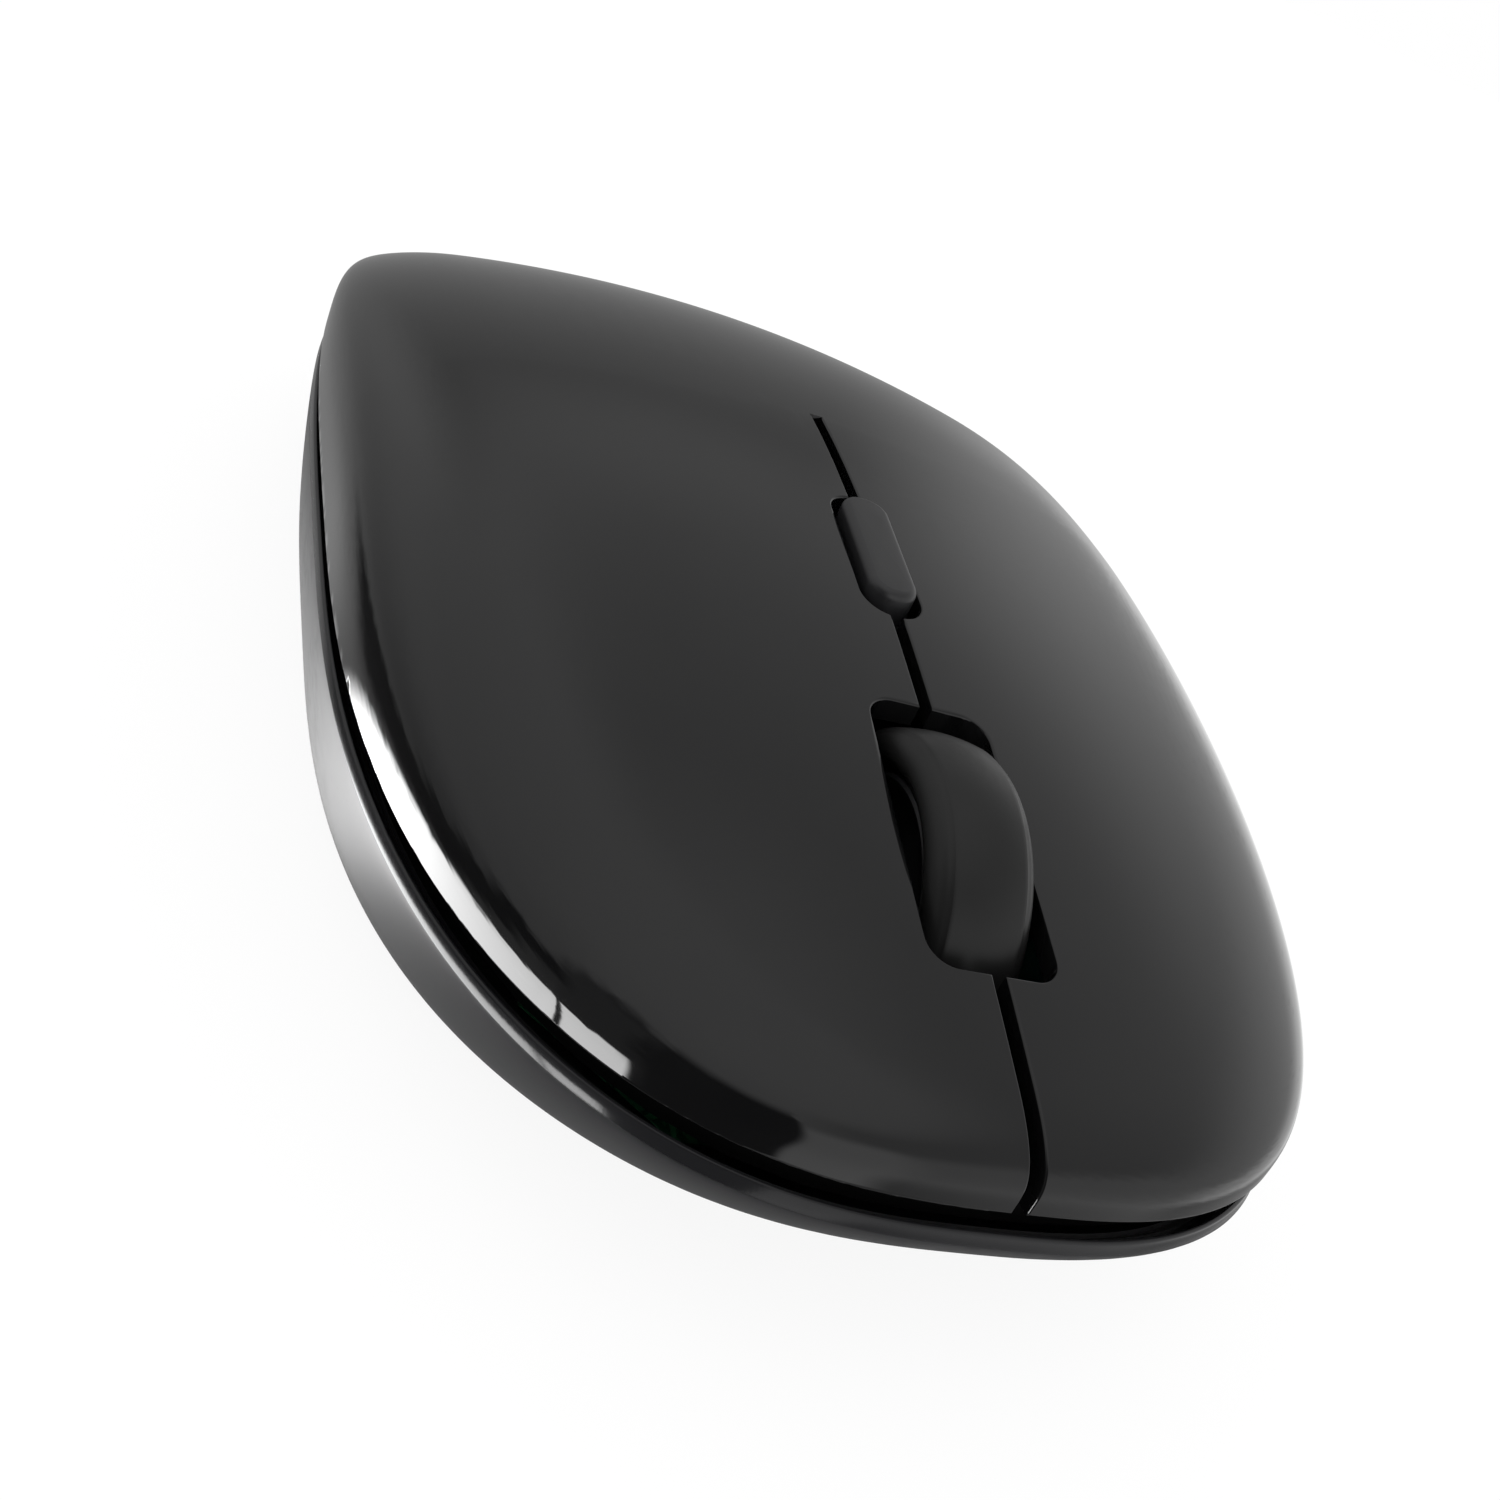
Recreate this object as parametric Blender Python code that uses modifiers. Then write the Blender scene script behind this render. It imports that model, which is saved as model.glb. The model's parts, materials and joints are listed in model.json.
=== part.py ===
"""Wireless computer mouse, modelled as the separate pieces it comes apart into.

Metres, +Z up. The front edge is at -Y, and +X is the user's left hand side, because the
front faces away from the user. The origin is on the desk, under the middle of the body.
"""

import math

import bmesh
import bpy
from mathutils import Matrix, Vector

# Driving dimensions of the body
LENGTH = 0.106
WIDTH = 0.061
CROWN_HEIGHT = 0.01475          # top of the shell above the parting plane
BASE_DEPTH = 0.0093             # parting plane above the flat underside
FOOT_HEIGHT = 0.0006            # how far the glide feet stand out below the base
SHELL_WALL = 0.0014
BASE_WALL = 0.0015
FLOOR = 0.0013
GAP = 0.0003                    # running gap between pieces that meet
CAVITY_SINK = 0.0002            # the cavity's rim starts this far below the parting line

# Plan outline: a superellipse that is blunter at the rear and slightly wider there
FRONT_POWER = 2.74
REAR_POWER = 4.15
TAPER = 0.043
OUTLINE_STEPS = 56

# Crown of the top shell
CROWN_Y = 0.0057
FRONT_DROP = 0.0097
FRONT_DROP_POWER = 1.64
REAR_DROP = 0.0113
REAR_DROP_POWER = 2.18
SIDE_DROP = 0.0043
SHOULDER_SIDE = 0.0125
SHOULDER_END = 0.0049
SHOULDER_POWERS = (3.28, 4.69)
CROWN_RINGS = (0.0003, 0.002, 0.01, 0.03, 0.07, 0.14, 0.26, 0.44, 0.66, 0.88)

# Parting line, shadow groove and base wall
PARTING_TILT = 0.0004
PARTING_LIFT = 0.0026
GROOVE = 0.0015
RIM_BAND = 0.0008
BASE_POWER = 1.22
BASE_SPREAD = 2.85
UNDERCUT_SIDE = 0.0010
UNDERCUT_FRONT = 0.0103
UNDERCUT_REAR = 0.0030
BASE_RINGS = 4
RING_INSET = 0.0019
RING_WALL = 0.0014
RING_RISE = 0.0002

# Keys and the openings between them
SLOT = 0.0008
SLOT_LENGTH = 0.0595            # front edge to the slot's rear end, where the keys flex
KEY_ANGLE = math.radians(0.6)
WHEEL_HOLE = (0.0076, 0.0178)
WHEEL_FROM_FRONT = 0.0192       # front edge to the wheel hole's centre
HOLE_CORNER = 0.0016
BUTTON_HOLE = (0.0041, 0.0122)
BUTTON_FROM_FRONT = 0.0420

# Scroll wheel
WHEEL_RADIUS = 0.0100
WHEEL_WIDTH = 0.0062
WHEEL_BACK = 0.0018             # wheel centre behind the hole's centre
WHEEL_PROUD = 0.0025
TYRE_DEPTH = 0.0024
AXLE_RADIUS = 0.0012
ENCODER_X = 0.0092
ENCODER = (0.0030, 0.0090, 0.0042)   # width, depth and height above the axle
CRADLE_X = 0.0096
CRADLE = (0.0030, 0.0056)
CRADLE_FLOOR = 0.0010

# Speed button
BUTTON = (0.0033, 0.0104)
BUTTON_PROUD = 0.0008
BUTTON_DEPTH = 0.0030
FLANGE = (0.0056, 0.0142, 0.0010)
STEM_RADIUS = 0.0014
BUTTON_TRAVEL = 0.0004

# Circuit board and what stands on it
BOARD_Z = 0.0056
BOARD = 0.0012
BOARD_FRONT = 0.0084            # front edge of the body to the board
BOARD_LENGTH = 0.0411
BOARD_SIDE = 0.0105             # side of the body to the board
NOSE_CLEARANCE = 0.00129        # base wall to the corners of the board's front edge
BOARD_CHAMFER = 0.0080
KEY_SWITCH = (0.0058, 0.0128, 0.0065)
SWITCH_CLEARANCE = 0.000809     # inner frame to the outer front corner of a key's switch
KEY_SWITCH_X = 0.0150
KEY_PLUNGER = (0.0016, 0.0026)
KEY_PLUNGER_FORWARD = 0.0025
PLUNGER_PROUD = 0.0007
PLUNGER_DEPTH = 0.0009
KEY_POST = (0.0030, 0.0044)
MIDDLE_SWITCH = 0.0046
MIDDLE_PLUNGER = 0.0011
MIDDLE_ANGLE = math.radians(1.5)
TACT_SWITCH = (0.0060, 0.0060, 0.0035)
TACT_PLUNGER = 0.0017
SENSOR = (0.0096, 0.0090, 0.0022)
SENSOR_FROM_FRONT = 0.0440
LENS = (0.0130, 0.0108, 0.0006)
LENS_BARREL = (0.0080, 0.0062)
CHIP = (0.0070, 0.0070, 0.0010)
CRYSTAL = (0.0080, 0.0034, 0.0030)
CAPACITOR = (0.0024, 0.0048)
POWER_SWITCH = (0.0044, 0.0086, 0.0020)
POWER_X = 0.0140
POWER_FROM_FRONT = 0.0340
POWER_KNOB = (0.0024, 0.0034)
POWER_TRAVEL = 0.0025
POWER_RECESS = 0.0003

# Battery, its bay and its door
CELL_RADIUS = 0.00525
CELL_LENGTH = 0.0437
CELL_NUB = (0.0019, 0.0008)
CELL_FROM_REAR = 0.0090
SPRING_LENGTH = 0.0031
SPRING_WIRE = 0.00025
SPRING_TURNS = 3
PLATE = (0.0080, 0.0005, 0.0075)
BAY_CLEARANCE = 0.0008
RIB = 0.0010
RIB_HEIGHT = 0.0066
DOOR_MARGIN = 0.0021            # how far the door reaches past the cell's side
DOOR_END = 0.0056               # rear edge of the body to the door's rear end
LEAD_RADIUS = 0.0005

# Fasteners and feet
BOSS_RADIUS = 0.0030
SHANK_RADIUS = 0.0010
HEAD_RADIUS = 0.0020
HEAD_HEIGHT = 0.0011
COUNTERBORE = 0.0016
SCREW_SIDE = 0.0071             # side of the body to the front screws
FRONT_SCREW_FROM_FRONT = 0.0430
REAR_SCREW = (0.0170, 0.0220)   # from the centre line, and from the rear edge
FRONT_BOSS_TOP = 0.0081
REAR_BOSS_TOP = 0.0110
BRIDGE_Z = 0.0134
BRIDGE = (0.0100, 0.0012)
LUG = 0.0015
BOARD_POST = 0.0020
BOARD_SCREW = (0.0074, 0.0450)  # inwards of the front screws, and from the front edge
FRONT_POST = (0.0100, 0.0115)
FOOT = (0.0120, 0.0045)
FOOT_POCKET = 0.0005
FRONT_FOOT = (0.0120, 0.0200)
REAR_FOOT = (0.0165, 0.0120)
SCREW_LENGTH = 0.0110
BOARD_SCREW_LENGTH = 0.0040

# Places that follow from the sizes above
FRONT = -LENGTH / 2
REAR = LENGTH / 2
PARTING_Z = FOOT_HEIGHT + BASE_DEPTH
FLOOR_Z = FOOT_HEIGHT + FLOOR
BOARD_TOP = BOARD_Z + BOARD
HINGE_Y = FRONT + SLOT_LENGTH
HOLE_Y = FRONT + WHEEL_FROM_FRONT
WHEEL_Y = HOLE_Y + WHEEL_BACK
BUTTON_Y = FRONT + BUTTON_FROM_FRONT
SENSOR_Y = FRONT + SENSOR_FROM_FRONT
POWER_Y = FRONT + POWER_FROM_FRONT
CELL_REAR = REAR - CELL_FROM_REAR
CELL_FRONT = CELL_REAR - CELL_LENGTH
CELL_Z = FLOOR_Z + GAP + CELL_RADIUS
BAY_HALF = CELL_RADIUS + DOOR_MARGIN + GAP
DOOR_REAR = REAR - DOOR_END
MIDDLE_TRAVEL = (ENCODER_X + CRADLE_X) * math.tan(MIDDLE_ANGLE)
FRONT_SCREW = (WIDTH / 2 - SCREW_SIDE, FRONT + FRONT_SCREW_FROM_FRONT)
BOARD_SCREW_X = FRONT_SCREW[0] - BOARD_SCREW[0]


# Outline and surfaces ---------------------------------------------------------------------

def outline_power(y):
    """Superellipse power of the plan outline at a given distance along the body."""
    return FRONT_POWER if y < 0 else REAR_POWER


def outline_point(angle, inset):
    """Point of the plan outline in a direction, moved inwards by inset."""
    across, along = math.cos(angle), math.sin(angle)
    power = outline_power(along)
    reach = (abs(across) ** power + abs(along) ** power) ** (-1 / power)
    y = (LENGTH / 2 - inset) * along * reach
    x = (WIDTH / 2 - inset) * (1 + TAPER * y / REAR) * across * reach
    return x, y


def parting_height(y):
    """Height of the shell's lower edge, which rises towards both ends."""
    share = y / REAR
    return PARTING_Z + PARTING_TILT * share + PARTING_LIFT * share * share


def crown_height(x, y):
    """Height of the crown before its shoulders are rounded down to the parting line."""
    if y < CROWN_Y:
        drop = FRONT_DROP * ((CROWN_Y - y) / (CROWN_Y - FRONT)) ** FRONT_DROP_POWER
    else:
        drop = REAR_DROP * (min(y - CROWN_Y, REAR - CROWN_Y) / (REAR - CROWN_Y)) ** REAR_DROP_POWER
    return PARTING_Z + CROWN_HEIGHT - drop - SIDE_DROP * (x / (WIDTH / 2)) ** 2


def shoulder(x, y, inset):
    """How far the rounded shoulder has risen, from 0 at the rim to 1 on the crown."""
    power = outline_power(y)
    half_width = (WIDTH / 2 - inset) * (1 + TAPER * y / REAR)
    half_length = LENGTH / 2 - inset
    across, along = abs(x) / half_width, abs(y) / half_length
    radius = (across ** power + along ** power) ** (1 / power)
    if radius <= 1e-6:
        return 1.0
    slope_x = (across / radius) ** (power - 1) / half_width
    slope_y = (along / radius) ** (power - 1) / half_length
    slope = math.hypot(slope_x, slope_y)
    distance = max(1 - radius, 0) / slope
    endwise = (slope_y / slope) ** 2
    width = SHOULDER_SIDE + (SHOULDER_END - SHOULDER_SIDE) * endwise
    share = min(distance / width, 1)
    inner, outer = SHOULDER_POWERS
    return (1 - (1 - share) ** inner) ** (1 / outer)


def shell_height(x, y, inset=0.0, lower=0.0):
    """Height of the shell's surface, or of one that lies inset and lower inside it."""
    rim = parting_height(y) - (CAVITY_SINK if lower > 0 else 0)
    rise = max(crown_height(x, y) - lower - rim, 0)
    return rim + rise * shoulder(x, y, inset)


def outline_angles():
    """Directions of the outline's points, starting at the middle of the front edge."""
    return [math.tau * step / OUTLINE_STEPS - math.pi / 2 for step in range(OUTLINE_STEPS)]


def outline_ring(inset, height):
    """A ring of points along the outline; height is a function of x and y."""
    points = [outline_point(angle, inset) for angle in outline_angles()]
    return [(x, y, height(x, y)) for x, y in points]


def undercut(y):
    """How far the base's flat underside lies inside its rim."""
    end = UNDERCUT_FRONT if y < 0 else UNDERCUT_REAR
    return UNDERCUT_SIDE + (end - UNDERCUT_SIDE) * abs(y / REAR) ** BASE_SPREAD


def side_at(y, inset):
    """Half width of the plan outline at y, for an outline moved inwards by inset."""
    power = outline_power(y)
    along = abs(y) / (LENGTH / 2 - inset)
    return (WIDTH / 2 - inset) * (1 + TAPER * y / REAR) * (1 - along ** power) ** (1 / power)


def base_side_at(y, z, inset):
    """Half width of the base's wall at y and z, inset from its outer face."""
    nearest = None
    for step in range(400):
        rim_x, rim_y = outline_point(-math.pi / 2 * step / 400, inset)
        rim = parting_height(rim_y) - GROOVE - RIM_BAND
        down = (rim - z) / (rim - FLOOR_Z)
        turn = math.asin(down ** (BASE_POWER / 2))
        inwards = 1 - math.cos(turn) ** (2 / BASE_POWER)
        point = outline_point(-math.pi / 2 * step / 400, inset + undercut(rim_y) * inwards)
        if nearest is None or abs(point[1] - y) < abs(nearest[1] - y):
            nearest = point
    return nearest[0]


def key_switch_y():
    """Middle of a key's switch, whose outer front corner clears the inner frame."""
    corner = KEY_SWITCH_X + KEY_SWITCH[0] / 2 + SWITCH_CLEARANCE
    ahead, behind = FRONT + RING_INSET + RING_WALL, 0.0
    for step in range(40):
        y = (ahead + behind) / 2
        if side_at(y, RING_INSET + RING_WALL) < corner:
            ahead = y
        else:
            behind = y
    return behind + KEY_SWITCH[1] / 2


def board_nose():
    """Half width of the board's front edge, whose corners clear the base's wall."""
    return base_side_at(FRONT + BOARD_FRONT, BOARD_Z, BASE_WALL) - NOSE_CLEARANCE


KEY_SWITCH_Y = key_switch_y()
KEY_PLUNGER_Y = KEY_SWITCH_Y - KEY_PLUNGER_FORWARD
KEY_TRAVEL = (HINGE_Y - KEY_PLUNGER_Y) * math.tan(KEY_ANGLE)


# Building blocks --------------------------------------------------------------------------

def clear_scene():
    """Remove every object, so that the script gives the same model in any file."""
    for item in list(bpy.data.objects):
        bpy.data.objects.remove(item, do_unlink=True)


def make_material(name, color, roughness, metallic=0.0):
    """A plain Principled material."""
    material = bpy.data.materials.new(name)
    material.use_nodes = True
    shader = material.node_tree.nodes["Principled BSDF"]
    shader.inputs["Base Color"].default_value = (*color, 1)
    shader.inputs["Roughness"].default_value = roughness
    shader.inputs["Metallic"].default_value = metallic
    return material


def finish_mesh(name, shape, material=None):
    """Turn a bmesh into an object: a part when it has a material, a cutter when not."""
    bmesh.ops.recalc_face_normals(shape, faces=shape.faces)
    mesh = bpy.data.meshes.new(name)
    shape.to_mesh(mesh)
    shape.free()
    mesh.shade_smooth()
    mesh.set_sharp_from_angle(angle=math.radians(35))
    item = bpy.data.objects.new(name, mesh)
    place(item, material)
    return item


def place(item, material):
    """Link an object to the parts with its material, or to the hidden cutters."""
    if material is None:
        CUTTERS.objects.link(item)
        item.hide_render = True
        item.display_type = "WIRE"
    else:
        PARTS.objects.link(item)
        item.data.materials.append(material)


def loft(name, rings, material=None, closed=False):
    """Skin over rings of equal length. Open ends are closed by strips across the body."""
    shape = bmesh.new()
    rows = [[shape.verts.new(point) for point in ring] for ring in rings]
    pairs = list(zip(rows, rows[1:]))
    if closed:
        pairs.append((rows[-1], rows[0]))
    for lower, upper in pairs:
        for index in range(OUTLINE_STEPS):
            after = (index + 1) % OUTLINE_STEPS
            shape.faces.new((lower[index], lower[after], upper[after], upper[index]))
    if not closed:
        for row in (rows[0], rows[-1]):
            close_across(shape, row)
    return finish_mesh(name, shape, material)


def close_across(shape, row):
    """Close a ring with strips between its left and right points."""
    half = OUTLINE_STEPS // 2
    shape.faces.new((row[0], row[1], row[-1]))
    shape.faces.new((row[half - 1], row[half], row[half + 1]))
    for index in range(1, half - 1):
        shape.faces.new((row[index], row[index + 1], row[-index - 1], row[-index]))


def block(name, low, high, material=None, corner=0.0, edge=0.0):
    """A box between two corners, with its upright edges rounded and its rims eased."""
    shape = bmesh.new()
    bmesh.ops.create_cube(shape, size=1)
    size = Vector(high) - Vector(low)
    centre = (Vector(high) + Vector(low)) / 2
    bmesh.ops.transform(shape, matrix=Matrix.Translation(centre) @ Matrix.Diagonal((*size, 1)),
                        verts=shape.verts)
    if corner:
        upright = [line for line in shape.edges
                   if abs(line.verts[0].co.z - line.verts[1].co.z) > size.z / 2]
        bmesh.ops.bevel(shape, geom=upright, offset=corner, segments=4, profile=0.5,
                        affect="EDGES")
    if edge:
        flat = [line for line in shape.edges
                if abs(line.verts[0].co.z - line.verts[1].co.z) < size.z / 2]
        bmesh.ops.bevel(shape, geom=flat, offset=edge, segments=1, profile=0.5, affect="EDGES")
    return finish_mesh(name, shape, material)


def centred_block(name, centre, size, bottom, top, material=None, corner=0.0, edge=0.0):
    """A box around a point of the plan, between two heights."""
    x, y = centre
    low = (x - size[0] / 2, y - size[1] / 2, bottom)
    high = (x + size[0] / 2, y + size[1] / 2, top)
    return block(name, low, high, material, corner, edge)


def post(name, centre, radius, bottom, top, material=None, segments=16):
    """An upright cylinder around a point of the plan."""
    shape = bmesh.new()
    x, y = centre
    bmesh.ops.create_cone(shape, cap_ends=True, segments=segments, radius1=radius, radius2=radius,
                          depth=top - bottom,
                          matrix=Matrix.Translation((x, y, (bottom + top) / 2)))
    return finish_mesh(name, shape, material)


def rod(name, centre, radius, length, material=None, segments=24):
    """A cylinder along X around its centre."""
    shape = bmesh.new()
    turn = Matrix.Rotation(math.pi / 2, 4, "Y")
    bmesh.ops.create_cone(shape, cap_ends=True, segments=segments, radius1=radius, radius2=radius,
                          depth=length, matrix=Matrix.Translation(centre) @ turn)
    return finish_mesh(name, shape, material)


def turned(name, profile, material, centre, rotation, steps=40, closed=False):
    """A profile of (radius, height) points, outer side downwards, turned about its Z axis."""
    points = [(radius, 0, height) for radius, height in profile]
    lines = [(index, index + 1) for index in range(len(points) - 1)]
    if closed:
        lines.append((len(points) - 1, 0))
    mesh = bpy.data.meshes.new(name)
    mesh.from_pydata(points, lines, [])
    item = bpy.data.objects.new(name, mesh)
    item.location = centre
    item.rotation_euler = rotation
    spin = item.modifiers.new("Turn", "SCREW")
    spin.steps = steps
    spin.render_steps = steps
    spin.use_merge_vertices = True
    spin.merge_threshold = 0.00001
    spin.use_smooth_shade = True
    place(item, material)
    return item


def wire(name, points, radius, material):
    """A round wire through a list of points."""
    curve = bpy.data.curves.new(name, "CURVE")
    curve.dimensions = "3D"
    curve.bevel_depth = radius
    curve.bevel_resolution = 2
    curve.use_fill_caps = True
    spline = curve.splines.new("POLY")
    spline.points.add(len(points) - 1)
    for point, target in zip(spline.points, points):
        point.co = (*target, 1)
    item = bpy.data.objects.new(name, curve)
    place(item, material)
    return item


def combine(target, tool, operation):
    """Add a live Boolean to a part."""
    step = target.modifiers.new(tool.name, "BOOLEAN")
    step.operation = operation
    step.solver = "EXACT"
    step.object = tool


def cut(target, *tools):
    """Cut each tool out of a part."""
    for tool in tools:
        combine(target, tool, "DIFFERENCE")


def add(target, *tools):
    """Join each tool to a part."""
    for tool in tools:
        combine(target, tool, "UNION")


def pivot(name, location, *pieces):
    """An empty on a joint's axis that carries the pieces which move about it."""
    holder = bpy.data.objects.new(name, None)
    holder.location = location
    holder.empty_display_size = 0.005
    PARTS.objects.link(holder)
    for piece in pieces:
        piece.parent = holder
        piece.matrix_parent_inverse = Matrix.Translation(location).inverted()


# Casing -----------------------------------------------------------------------------------

def crown_body(name, inset, lower, skirt, material=None):
    """Closed body under the crown, reaching down past the parting line by skirt."""
    rings = [outline_ring(inset, lambda x, y: shell_height(x, y, inset, lower))]
    if skirt:
        rings.insert(0, outline_ring(inset, lambda x, y: parting_height(y) - skirt))
    for step in CROWN_RINGS:
        ring = []
        for x, y in (outline_point(angle, inset) for angle in outline_angles()):
            x, y = x * (1 - step), y * (1 - step)
            ring.append((x, y, shell_height(x, y, inset, lower)))
        rings.append(ring)
    return loft(name, rings, material)


def lowest_ceiling(centre, radius):
    """Lowest point of the shell's inner face above a round post."""
    turns = [math.tau * step / 8 for step in range(8)]
    return min(shell_height(centre[0] + radius * math.cos(turn), centre[1] + radius * math.sin(turn),
                            SHELL_WALL, SHELL_WALL) for turn in turns)


def opening_cutters():
    """Tools for the slot between the keys, the wheel hole and the button hole."""
    below, above = PARTING_Z - 0.01, PARTING_Z + CROWN_HEIGHT + 0.01
    slot = block("slot_cutter", (-SLOT / 2, FRONT - 0.01, below), (SLOT / 2, HINGE_Y, above))
    wheel = centred_block("wheel_hole_cutter", (0, HOLE_Y), WHEEL_HOLE, below, above,
                          corner=HOLE_CORNER)
    button = centred_block("button_hole_cutter", (0, BUTTON_Y), BUTTON_HOLE, below, above,
                           corner=BUTTON_HOLE[0] * 0.46)
    return slot, wheel, button


def build_key(name, side, cavity, openings, material):
    """One main key: half of the shell in front of the hinge, with its post to the switch."""
    key = crown_body(name, 0, 0, 0, material)
    cut(key, cavity)
    reach = LENGTH
    rear = block(name + "_rear_cutter", (-reach, HINGE_Y - GAP / 2, -reach), (reach, reach, reach))
    far = (-reach, 0) if side > 0 else (0, reach)
    other = block(name + "_half_cutter", (far[0], -reach, -reach), (far[1], reach, reach))
    centre = (side * KEY_SWITCH_X, KEY_PLUNGER_Y)
    ceiling = lowest_ceiling(centre, math.hypot(*KEY_POST) / 2)
    bottom = plunger_top() + GAP
    finger = centred_block(name + "_post", centre, KEY_POST, bottom, ceiling + SHELL_WALL / 2)
    cut(key, rear, other, *openings)
    add(key, finger)
    pivot(name + "_hinge", (side * KEY_SWITCH_X, HINGE_Y, crown_height(0, HINGE_Y)), key)
    return key


def plunger_top():
    """Top of a main switch's plunger."""
    return BOARD_TOP + GAP + KEY_SWITCH[2] + PLUNGER_PROUD


def build_palm_cover(cavity, material):
    """Shell behind the hinge line, with a screw boss on each side."""
    cover = crown_body("palm_cover", 0, 0, 0, material)
    reach = LENGTH
    front = block("palm_front_cutter", (-reach, -reach, -reach), (reach, HINGE_Y + GAP / 2, reach))
    cut(cover, cavity, front)
    for side, word in ((1, "left"), (-1, "right")):
        centre = (side * REAR_SCREW[0], REAR - REAR_SCREW[1])
        ceiling = lowest_ceiling(centre, BOSS_RADIUS)
        boss = post("palm_boss_" + word, centre, BOSS_RADIUS, REAR_BOSS_TOP + GAP,
                    ceiling + SHELL_WALL / 2)
        bore = post("palm_bore_" + word, centre, SHANK_RADIUS + GAP, REAR_BOSS_TOP,
                    ceiling - SHELL_WALL / 2, segments=16)
        add(cover, boss)
        cut(cover, bore)
    return cover


def ring_top(x, y):
    """Top of the inner frame: just inside the shell, and clear of its ceiling at the rear."""
    room = shell_height(x, y, SHELL_WALL, SHELL_WALL) - parting_height(y)
    return parting_height(y) + min(RING_RISE, room - 2 * GAP)


def ring_foot(x, y):
    """Bottom of the inner frame, level with the base's rim band."""
    return parting_height(y) - GROOVE - RIM_BAND


def build_mid_frame(material):
    """Inner frame: the dark ring seen through the groove, lugs, bosses and button bridge."""
    inner = RING_INSET + RING_WALL
    rings = [outline_ring(RING_INSET, ring_foot), outline_ring(RING_INSET, ring_top),
             outline_ring(inner, ring_top), outline_ring(inner, ring_foot)]
    frame = loft("mid_frame", rings, material, closed=True)
    screw_x, screw_y = FRONT_SCREW
    bottom = FRONT_BOSS_TOP + GAP
    top = BRIDGE_Z + BRIDGE[1]
    add(frame, block("bridge_tool", (-screw_x, screw_y - BRIDGE[0] / 2, BRIDGE_Z),
                     (screw_x, screw_y + BRIDGE[0] / 2, top)))
    for side, word in ((1, "left"), (-1, "right")):
        ring_side = side_at(screw_y - BOSS_RADIUS, RING_INSET + RING_WALL / 2)
        ends = sorted((side * screw_x, side * ring_side))
        add(frame, block("lug_tool_" + word, (ends[0], screw_y - BOSS_RADIUS, bottom),
                         (ends[1], screw_y + BOSS_RADIUS, bottom + LUG)))
        centre = (side * screw_x, screw_y)
        cut(frame, post("boss_room_" + word, centre, BOSS_RADIUS + GAP, 0, bottom - GAP / 2))
        add(frame, post("boss_tool_" + word, centre, BOSS_RADIUS, bottom, top))
        cut(frame, post("boss_bore_" + word, centre, SHANK_RADIUS + GAP, 0, BRIDGE_Z, segments=16))
    cut(frame, post("stem_guide_cutter", (0, BUTTON_Y), STEM_RADIUS + GAP, BRIDGE_Z - 0.01,
                    top + 0.01))
    return frame


def base_body(name, inset, floor, top, material=None):
    """Closed body of the base: its flat floor, undercut wall and upright rim."""
    rings = []
    for step in range(BASE_RINGS, -1, -1):
        turn = math.pi / 2 * step / BASE_RINGS
        inwards = 1 - max(math.cos(turn), 0) ** (2 / BASE_POWER)
        down = math.sin(turn) ** (2 / BASE_POWER)
        ring = []
        for angle in outline_angles():
            rim_y = outline_point(angle, inset)[1]
            x, y = outline_point(angle, inset + undercut(rim_y) * inwards)
            rim = parting_height(rim_y) - GROOVE - RIM_BAND
            ring.append((x, y, rim - (rim - floor) * down))
        rings.append(ring)
    rings.append(outline_ring(inset, lambda x, y: parting_height(y) - GROOVE + top))
    return loft(name, rings, material)


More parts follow.
